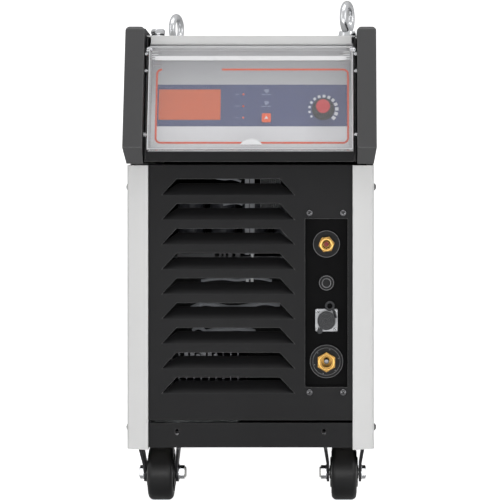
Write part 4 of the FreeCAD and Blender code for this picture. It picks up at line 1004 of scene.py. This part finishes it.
RIM_WIDTH = 1.3
lid_strips("lid_rim_highlight", [(-LID_HALF, LID_HALF, LID_TOP - 1.4, LID_TOP - 0.1), (-LID_HALF, LID_HALF, 0.2, 1.4),
                       (-LID_HALF, -LID_HALF + RIM_WIDTH, 1.4, LID_TOP - 1.4),
                       (LID_HALF - RIM_WIDTH, LID_HALF, 1.4, LID_TOP - 1.4)], LID_RIM_HIGHLIGHT, 0.5)
lid_strips("lid_top_highlights", [(-128.0, 128.0, 138.2, 138.8), (-128.0, 128.0, 135.9, 136.3)], LID_RIM_HIGHLIGHT, 0.3)
lid_strips("lid_step_highlight", [(-128.0, 128.0, 122.6, 128.6)], LID_STEP_HIGHLIGHT, 0.5)
rib_ups = (124.0, 127.2, 130.4, 133.6)
ribs = [(side * 128.2 - 4.2, side * 128.2 + 4.2, up, up + 1.1) for side in (-1, 1) for up in rib_ups]
lid_strips("lid_end_ribs", ribs, LID_RIM_HIGHLIGHT, 0.9)
GRIP_MIDDLE, GRIP_RADIUS, GRIP_FOOT = (1.8, -2.4), 16.7, 5.9
grip_half_angle = math.degrees(math.acos((GRIP_FOOT - GRIP_MIDDLE[1]) / GRIP_RADIUS))
moon = arc(GRIP_MIDDLE, GRIP_RADIUS, 90 - grip_half_angle, 90 + grip_half_angle, 24)
finish_piece("lid_grip_highlight", *slab_mesh(moon, on_slope(0, 0, 2.2), ACROSS, UP, 0.2), LID_STEP_HIGHLIGHT, "lid",
             "clear_plastic")
crescent = moon + arc((GRIP_MIDDLE[0], GRIP_MIDDLE[1] - 1.6), GRIP_RADIUS, 90 - grip_half_angle,
                      90 + grip_half_angle, 24)[::-1]
finish_piece("lid_grip_edge_highlight", *slab_mesh(crescent, on_slope(0, 0, 2.4), ACROSS, UP, 0.2), LID_RIM_HIGHLIGHT, "lid",
             "clear_plastic")
print("lid strips", len(ribs) + 7)

# %% [markdown]
# ## Behind the guards
# Between each thick guard and the head's side plate runs a dark channel. Thin sheets in a painted shade
# colour darken the guard's inner face where the channel's shade falls, and three spacer nuts on each side
# show as small bright dots in the channel.

# %% Guard shade sheets and spacer nuts
GUARD_GAP = 0.1424
GUARD_SHADE_OUTLINE = [(-316.0, 482.0), (-298.0, 463.5), (-246.0, 463.5), (-200.0, 638.0), (-268.0, 643.0), (-276.5, 643.0)]
SPACER_LEVELS = (0.6084, 0.5856, 0.5005)
EDGE_LEVEL, EDGE_Y, EDGE_LEAN, NUT_SETBACK = 0.465, -0.303, 0.2206, 0.0012
for side, label in ((-1, "left"), (1, "right")):
    inward = Vector((-side, 0.0, 0.0))
    base = Vector((side * (GUARD_GAP - 0.0001), 0.0, 0.0))
    across = Vector((0.0, 1.0, 0.0))
    # Painted shade: a thin dark sheet on each guard's inner face.
    points, faces = slab_mesh(GUARD_SHADE_OUTLINE, base, across, Vector((0.0, 0.0, 1.0)), 0.15)
    if side > 0:
        points = [Vector((2 * base.x - p.x, p.y, p.z)) for p in points]
    finish_piece(f"guard_shade_{label}", points, faces, RECESS_SHADE, "case", "guard_plastic")
    nuts = []
    for level in SPACER_LEVELS:
        front_edge = EDGE_Y + (level - EDGE_LEVEL) * EDGE_LEAN - NUT_SETBACK
        seat = Vector((side * GUARD_GAP, front_edge, level))
        nuts.append(lathe_mesh([(3.0, 0.0), (3.0, 3.2), (1.6, 3.2), (1.6, 4.6), (0.001, 4.6)], seat, inward,
                               steps=6))
    finish_piece(f"guard_spacers_{label}", *merge(nuts), ZINC, "case", "zinc", smooth=20)
print("spacer nuts", 2 * len(SPACER_LEVELS))

# %% [markdown]
# ## What shows through the slots
# Through the nine slots one sees the edges of the inner parts: a finned block at the right, a pair of grey
# capacitor posts beside it, small white plugs, a grey bus bar, wavy cables and the tips of the heat sink. Two
# dark sheets, one behind the lower slots and one at the back, are painted shade that keeps the view dark. A
# trace of glow stands in for the light that many bounces would bring into the case.

# %% Inner parts near the slots
SHADE_SHEET = finish("painted shade sheet", linear(20, 20, 21), linear(12, 12, 13), 0.7, bump=0.1)
POST_GREY = finish("capacitor post", linear(176, 178, 182), linear(150, 152, 158), 0.35, bump=0.06,
                   edge=linear(220, 220, 222), edge_radius=0.0005)
PLUG_WHITE = finish("white plug", linear(244, 244, 240), linear(232, 232, 228), 0.4, bump=0.04)
CABLE_GREY = finish("grey cable", linear(150, 154, 162), linear(112, 116, 124), 0.35, bump=0.08)
BOUNCED_LIGHT = (0.92, 0.95, 1.0, 1.0)
for bright, strength in ((POST_GREY, 0.06), (CABLE_GREY, 0.05), (PLUG_WHITE, 0.12)):
    glow_inputs = bright.node_tree.nodes["Principled BSDF"].inputs
    glow_inputs["Emission Color"].default_value = BOUNCED_LIGHT
    glow_inputs["Emission Strength"].default_value = strength
XZ_ACROSS, XZ_UP = Vector((1.0, 0.0, 0.0)), Vector((0.0, 0.0, 1.0))


def box_mesh(x0, x1, y0, y1, z0, z1):
    """A block given in millimetres, for brackets and inner parts."""
    outline = [(x0, z0), (x1, z0), (x1, z1), (x0, z1)]
    return slab_mesh(outline, Vector((0.0, y1, 0.0)) * MM, XZ_ACROSS, XZ_UP, y1 - y0)


# Painted shade: dark sheets behind the lower slots and at the back, where the case is only in shade.
shade_sheets = [box_mesh(-147, 147, -198.5, -197.5, 212, 329.5), box_mesh(-8, 147, -198.5, -197.5, 126, 211.9)]
finish_piece("inner_shade_sheet", *merge(shade_sheets), SHADE_SHEET, "case", "black_plastic")
finish_piece("inner_back_shade_sheet", *box_mesh(-148, 148, 158, 160, 342, 600), SHADE_SHEET, "case",
             "black_plastic")
posts = [box_mesh(-10.5, -5.0, -222, -212, 336, 446), box_mesh(-3.6, 2.2, -222, -212, 336, 446)]
finish_piece("inner_posts", *merge(posts), POST_GREY, "case", "can")
fins = [box_mesh(11 + 2.9 * k, 12.3 + 2.9 * k, -232, -206, 376, 446) for k in range(10)]
fins.append(box_mesh(11, 38.4, -206, -203, 376, 446))
finish_piece("inner_fins", *merge(fins), CAST_ALLOY, "case", "aluminium")
plugs = [box_mesh(-2.2, 1.6, -226, -222, 328, 337), box_mesh(-2.6, 1.2, -226, -222, 296, 304),
         box_mesh(-9.0, -5.0, -226, -222, 296, 303)]
finish_piece("inner_plugs", *merge(plugs), PLUG_WHITE, "case", "white_steel")
bars = [box_mesh(-104, -52, -216, -213, 325, 337), box_mesh(-46, -43, -218, -214, 325, 339),
        box_mesh(-40, -37, -218, -214, 325, 339), box_mesh(-34, -28, -218, -214, 325, 338),
        box_mesh(-24, -17, -218, -214, 325, 338)]
finish_piece("inner_bus_bars", *merge(bars), PLAIN_STEEL, "case", "steel")
chips = [box_mesh(-92 + 8 * k, -87 + 8 * k, -242, -238, 188, 206 - (k % 3) * 2) for k in range(6)]
finish_piece("inner_terminals", *merge(chips), POST_GREY, "case", "can")


def cable(name, places, radius, material=CABLE_GREY):
    """A soft cable through (x, y, z) points in millimetres."""
    return tube(name, [Vector(place) * MM for place in places], radius, material, "case")


cable("inner_cable_1", [(-84, -214, 262), (-70, -222, 270), (-52, -224, 268), (-30, -220, 262),
                        (-4, -222, 266), (20, -224, 272), (36, -216, 266)], 3.2)
cable("inner_cable_2", [(-96, -212, 258), (-78, -220, 264), (-66, -226, 272), (-58, -214, 280)], 2.4)
cable("inner_cable_3", [(-76, -214, 224), (-60, -222, 232), (-40, -224, 234), (-12, -224, 236),
                        (2, -216, 230)], 3.4)
cable("inner_cable_4", [(-82, -212, 232), (-74, -222, 238), (-62, -226, 230), (-54, -214, 222)], 2.2)
cable("inner_cable_5", [(-64, -224, 444), (-40, -226, 438), (-28, -224, 441), (-16, -222, 436)], 1.6)
cable("inner_cable_6", [(-40, -222, 404), (-20, -226, 409), (-14, -224, 404)], 1.6)
cable("inner_cable_7", [(-70, -222, 300), (-44, -226, 305), (-20, -224, 300), (4, -222, 306),
                        (26, -220, 300)], 2.0)
print("inner parts added")

# %% [markdown]
# ## Casters
# A caster is a small assembly: a ball race between plate and fork, cheeks with a bright cut edge, washers, a
# lock nut with its plastic ring, and a wheel whose rim is smoother than its tread. The wheel pieces ride on
# the wheels and the rest on the swivels, so both motions stay true.

# %% Caster details
WHEEL_HEIGHT = 0.0375
RIM_BLACK = finish("polished wheel flank", linear(36, 36, 37), linear(26, 26, 27), 0.2, bump=0.05, coat=0.3,
                   edge=linear(150, 150, 150), edge_radius=0.0008)
NYLON = finish("nylon ring", linear(214, 214, 208), linear(196, 196, 190), 0.4, bump=0.03)
CASTERS = {"front_left": (-1, "front_wheel_left", "swivel_left", "front_wheel_left"),
           "front_right": (1, "front_wheel_right", "swivel_right", "front_wheel_right"),
           "rear_left": (-1, "rear_wheel_left", "case", "rear_wheel_left"),
           "rear_right": (1, "rear_wheel_right", "case", "rear_wheel_right")}
CHEEK = 23.5
WASHER_PROFILE = [(5.4, -0.1), (10.2, -0.1), (10.2, 1.0), (9.6, 1.3), (5.4, 1.3), (5.4, -0.1)]
NYLON_PROFILE = [(5.2, -0.5), (7.3, -0.5), (7.3, 1.4), (6.2, 2.2), (5.2, 2.2), (5.2, -0.5)]
for label, (side, wheel_body, fork_body, wheel_node) in CASTERS.items():
    hub = centre(wheel_node)
    hub.z = WHEEL_HEIGHT
    out = Vector((side, 0.0, 0.0))
    rings, washers = [], []
    for facing in (-1, 1):
        face = hub + out * facing * 17.0 * MM
        rings.append(lathe_mesh([(26.4, -0.1), (26.4, 0.35), (28.6, 0.35), (28.6, -0.1), (26.4, -0.1)], face,
                                out * facing, steps=72))
        rings.append(lathe_mesh([(17.0, 1.4), (17.0, 1.9), (19.5, 1.9), (19.5, 1.4), (17.0, 1.4)], face,
                                out * facing, steps=64))
        cheek = hub + out * facing * CHEEK * MM
        washers.append(lathe_mesh(WASHER_PROFILE, cheek, out * facing, steps=40))
    finish_piece(f"{label}_wheel_rings", *merge(rings), RIM_BLACK, wheel_body, "wheel_rubber")
    finish_piece(f"{label}_washers", *merge(washers), ZINC, fork_body, "zinc")
    nut_end = hub - out * (CHEEK + 8.0) * MM
    nylon = lathe_mesh(NYLON_PROFILE, nut_end, -out, steps=40)
    tip = lathe_mesh([(5.0, -1.0), (5.0, 1.2), (4.2, 2.0), (0.001, 2.0)], nut_end, -out, steps=32)
    finish_piece(f"{label}_nut_ring", *nylon, NYLON, fork_body, "zinc")
    finish_piece(f"{label}_axle_tip", *tip, ZINC, fork_body, "zinc")
    head = hub + out * (CHEEK + 6.0) * MM
    crown = lathe_mesh([(7.6, -0.1), (7.4, 0.4), (6.6, 0.8), (0.001, 0.8)], head, out, steps=40)
    finish_piece(f"{label}_bolt_crown", *crown, ZINC, fork_body, "zinc")


def race_seal(name, node, body):
    """The bright lip of a ball race, turned about the upright axis."""
    corner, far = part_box(node)
    race_centre = Vector(((corner[0] + far[0]) / 2, -0.240, 0.0913))
    seal = lathe_mesh([(21.6, 0.0), (24.6, 0.4), (25.0, 1.6), (24.6, 4.6), (22.1, 4.6), (22.1, 0.0)],
                      race_centre, Vector((0.0, 0.0, 1.0)), steps=64)
    return finish_piece(name, *seal, ZINC, body, "zinc")


race_seal("front_left_race_lip", "front_fork_left", "case")
race_seal("front_right_race_lip", "front_fork_right", "case")
print("caster details on", len(CASTERS), "casters")

# %% [markdown]
# ## Lifting bolts
# Two lifting places carry eye bolts and the other two carry plain hex bolts. A stamped hex bolt has a
# chamfered top with a small dished centre, and a spring washer with a cut in it under the head.

# %% Lifting bolt details
LIFT_PLACES = ((-0.1295, -0.220), (0.1295, 0.090))
bolt_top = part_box("lifting_bolts")[1][2]
cover_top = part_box("top_cover")[1][2]
crowns = []
for x, y in LIFT_PLACES:
    seat = Vector((x, y, bolt_top))
    crowns.append(lathe_mesh([(6.6, -0.2), (6.4, 0.3), (5.2, 0.5), (4.6, 0.1), (0.001, 0.1)], seat,
                             Vector((0.0, 0.0, 1.0)), steps=40))
    foot = Vector((x, y, cover_top))
    collar = [(9.0, 2.0), (12.0, 2.0), (12.3, 1.0), (12.0, 0.0), (9.0, 0.0), (9.0, 2.0)]
    crowns.append(lathe_mesh(collar, foot,
                             Vector((0.0, 0.0, 1.0)), steps=48))
finish_piece("lifting_bolt_crowns", *merge(crowns), ZINC, "case", "zinc")
# Painted shade: a small dark block at each spring washer's cut stands for the shade in the gap.
washer_cut_shades = [box_mesh(x * 1000 + 4, x * 1000 + 9.4, y * 1000 - 9.3, y * 1000 - 6.5, cover_top * 1000 + 2.4,
                  cover_top * 1000 + 4.2) for x, y in LIFT_PLACES]
finish_piece("spring_washer_cut_shades", *merge(washer_cut_shades), RECESS_SHADE, "case", "zinc")
print("lifting bolts topped at", round(bolt_top, 4))

# %% [markdown]
# ## The rear
# The rear has the fittings a workshop needs: a gauge with a dial and numbers, marks round the mains switch, a
# blank rating plate held by four rivets, and a finger guard of wire rings behind the air slots.

# %% Gauge dial
DIAL_WHITE = finish("gauge dial", linear(240, 240, 238), linear(230, 230, 228), 0.5, bump=0.02)
DIAL_BLACK = finish("dial print", linear(30, 30, 32), linear(22, 22, 24), 0.5, bump=0.02)
gauge_low, gauge_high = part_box("pressure_gauge")
gauge_face = Vector((gauge_high[0], (gauge_low[1] + gauge_high[1]) / 2, (gauge_low[2] + gauge_high[2]) / 2))
GAUGE_OUT = Vector((1.0, 0.0, 0.0))
GAUGE_RIGHT = Vector((0.0, 1.0, 0.0))
finish_piece("gauge_dial", *lathe_mesh([(16.0, 0.0), (16.0, 0.3), (0.001, 0.3)], gauge_face, GAUGE_OUT),
             DIAL_WHITE, "case", "white_steel")
bezel = [(16.0, 0.0), (18.0, 0.0), (18.0, 1.2), (17.2, 1.8), (16.0, 1.4), (16.0, 0.0)]
finish_piece("gauge_bezel", *lathe_mesh(bezel, gauge_face, GAUGE_OUT, steps=64), ZINC, "case", "zinc")


def radial_bar(angle, inner, outer, width):
    """Outline of a short bar that points away from the centre, angle in degrees."""
    along = Vector((math.cos(math.radians(angle)), math.sin(math.radians(angle))))
    beside = Vector((-along.y, along.x)) * (width / 2)
    return [tuple(along * inner - beside), tuple(along * outer - beside), tuple(along * outer + beside),
            tuple(along * inner + beside)]


ticks = [radial_bar(225 - 27 * k, 12.0 if k % 2 else 11.0, 14.4, 0.5) for k in range(11)]
ticks.append(radial_bar(140, -3.0, 12.0, 0.9))
dial_front = gauge_face + GAUGE_OUT * 0.35 * MM
finish_piece("gauge_marks", *merge([slab_mesh(t, dial_front, GAUGE_RIGHT, XZ_UP, 0.12) for t in ticks]),
             DIAL_BLACK, "case", "black_plastic")

# %% Gauge numbers
for k, number in enumerate(("0", "2", "4", "6", "8", "10")):
    angle = math.radians(225 - 54 * k)
    text = bpy.data.curves.new(f"gauge_number_{number}", "FONT")
    text.body = number
    text.size = 0.0034
    text.extrude = 0.00006
    text.align_x = "CENTER"
    text.align_y = "CENTER"
    figure = bpy.data.objects.new(f"gauge_number_{number}", text)
    bpy.context.collection.objects.link(figure)
    figure.location = dial_front + (GAUGE_RIGHT * math.cos(angle) + XZ_UP * math.sin(angle)) * 8.6 * MM
    figure.rotation_euler = (math.radians(90), 0.0, math.radians(90))
    text.materials.append(DIAL_BLACK)
    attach(figure, "case")

# %% Switch marks, rating plate and finger guard
BACK = Vector((0.0, 1.0, 0.0))
BACK_ACROSS = Vector((-1.0, 0.0, 0.0))
switch_middle = centre("switch_handle")
plate_face = Vector((switch_middle.x, 0.27605, switch_middle.z))
marks = [radial_bar(90, 20.3, 22.8, 1.2), radial_bar(0, 20.3, 22.8, 1.2), radial_bar(45, 21.0, 22.4, 0.6)]
finish_piece("switch_marks", *merge([slab_mesh(m, plate_face, BACK_ACROSS, XZ_UP, 0.12) for m in marks]),
             PALE_INK, "case", "film")
handle_face = Vector((switch_middle.x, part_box("switch_handle")[1][1], switch_middle.z))
handle_line = [(-0.7, 8.0), (0.7, 8.0), (0.7, 15.0), (-0.7, 15.0)]
finish_piece("switch_handle_line", *slab_mesh(handle_line, handle_face, BACK_ACROSS, XZ_UP, 0.15), PALE_INK,
             "switch_handle", "film")
RATING = (-6.0, 66.0, 372.0, 428.0)
rear_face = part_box("rear_panel")[1][1]
rating_outline = rounded_box(-RATING[1], -RATING[0], RATING[2], RATING[3], 3.0)
plate_base = Vector((0.0, rear_face, 0.0))
finish_piece("rating_plate", *slab_mesh(rating_outline, plate_base, BACK_ACROSS, XZ_UP, 0.5), PANEL_GREY,
             "case", "aluminium")
rules = [[(-RATING[1] + 6, z), (-RATING[0] - 6, z), (-RATING[0] - 6, z + 0.5), (-RATING[1] + 6, z + 0.5)]
         for z in (382.0, 392.0, 402.0, 412.0)]
rule_base = Vector((0.0, rear_face + 0.0005, 0.0))
finish_piece("rating_plate_rules", *merge([slab_mesh(r, rule_base, BACK_ACROSS, XZ_UP, 0.08) for r in rules]),
             DIAL_BLACK, "case", "film")
RIVET = [(1.9, 0.0), (1.7, 0.6), (0.9, 1.0), (0.001, 1.1)]
RIVET_XS, RIVET_ZS = (-0.003, 0.063), (0.375, 0.425)
rivets = [lathe_mesh(RIVET, Vector((x, rear_face + 0.0005, z)), BACK, steps=20)
          for x in RIVET_XS for z in RIVET_ZS]
finish_piece("rating_plate_rivets", *merge(rivets), ZINC, "case", "aluminium")
fan_middle = centre("fan_frame")
guard_seat = Vector((fan_middle.x, 0.2668, fan_middle.z))
wire_rings = []
for radius in range(14, 78, 7):
    wire_rings.append(lathe_mesh([(radius - 0.6, 0.0), (radius + 0.6, 0.0), (radius + 0.6, 1.2),
                                  (radius - 0.6, 1.2), (radius - 0.6, 0.0)], guard_seat, BACK, steps=72))
finish_piece("fan_finger_guard", *merge(wire_rings), ZINC, "case", "zinc")
print("rear details placed")

# %% [markdown]
# ## Last update
# The last cell updates the view layer.

# %% Update the view layer
bpy.context.view_layer.update()
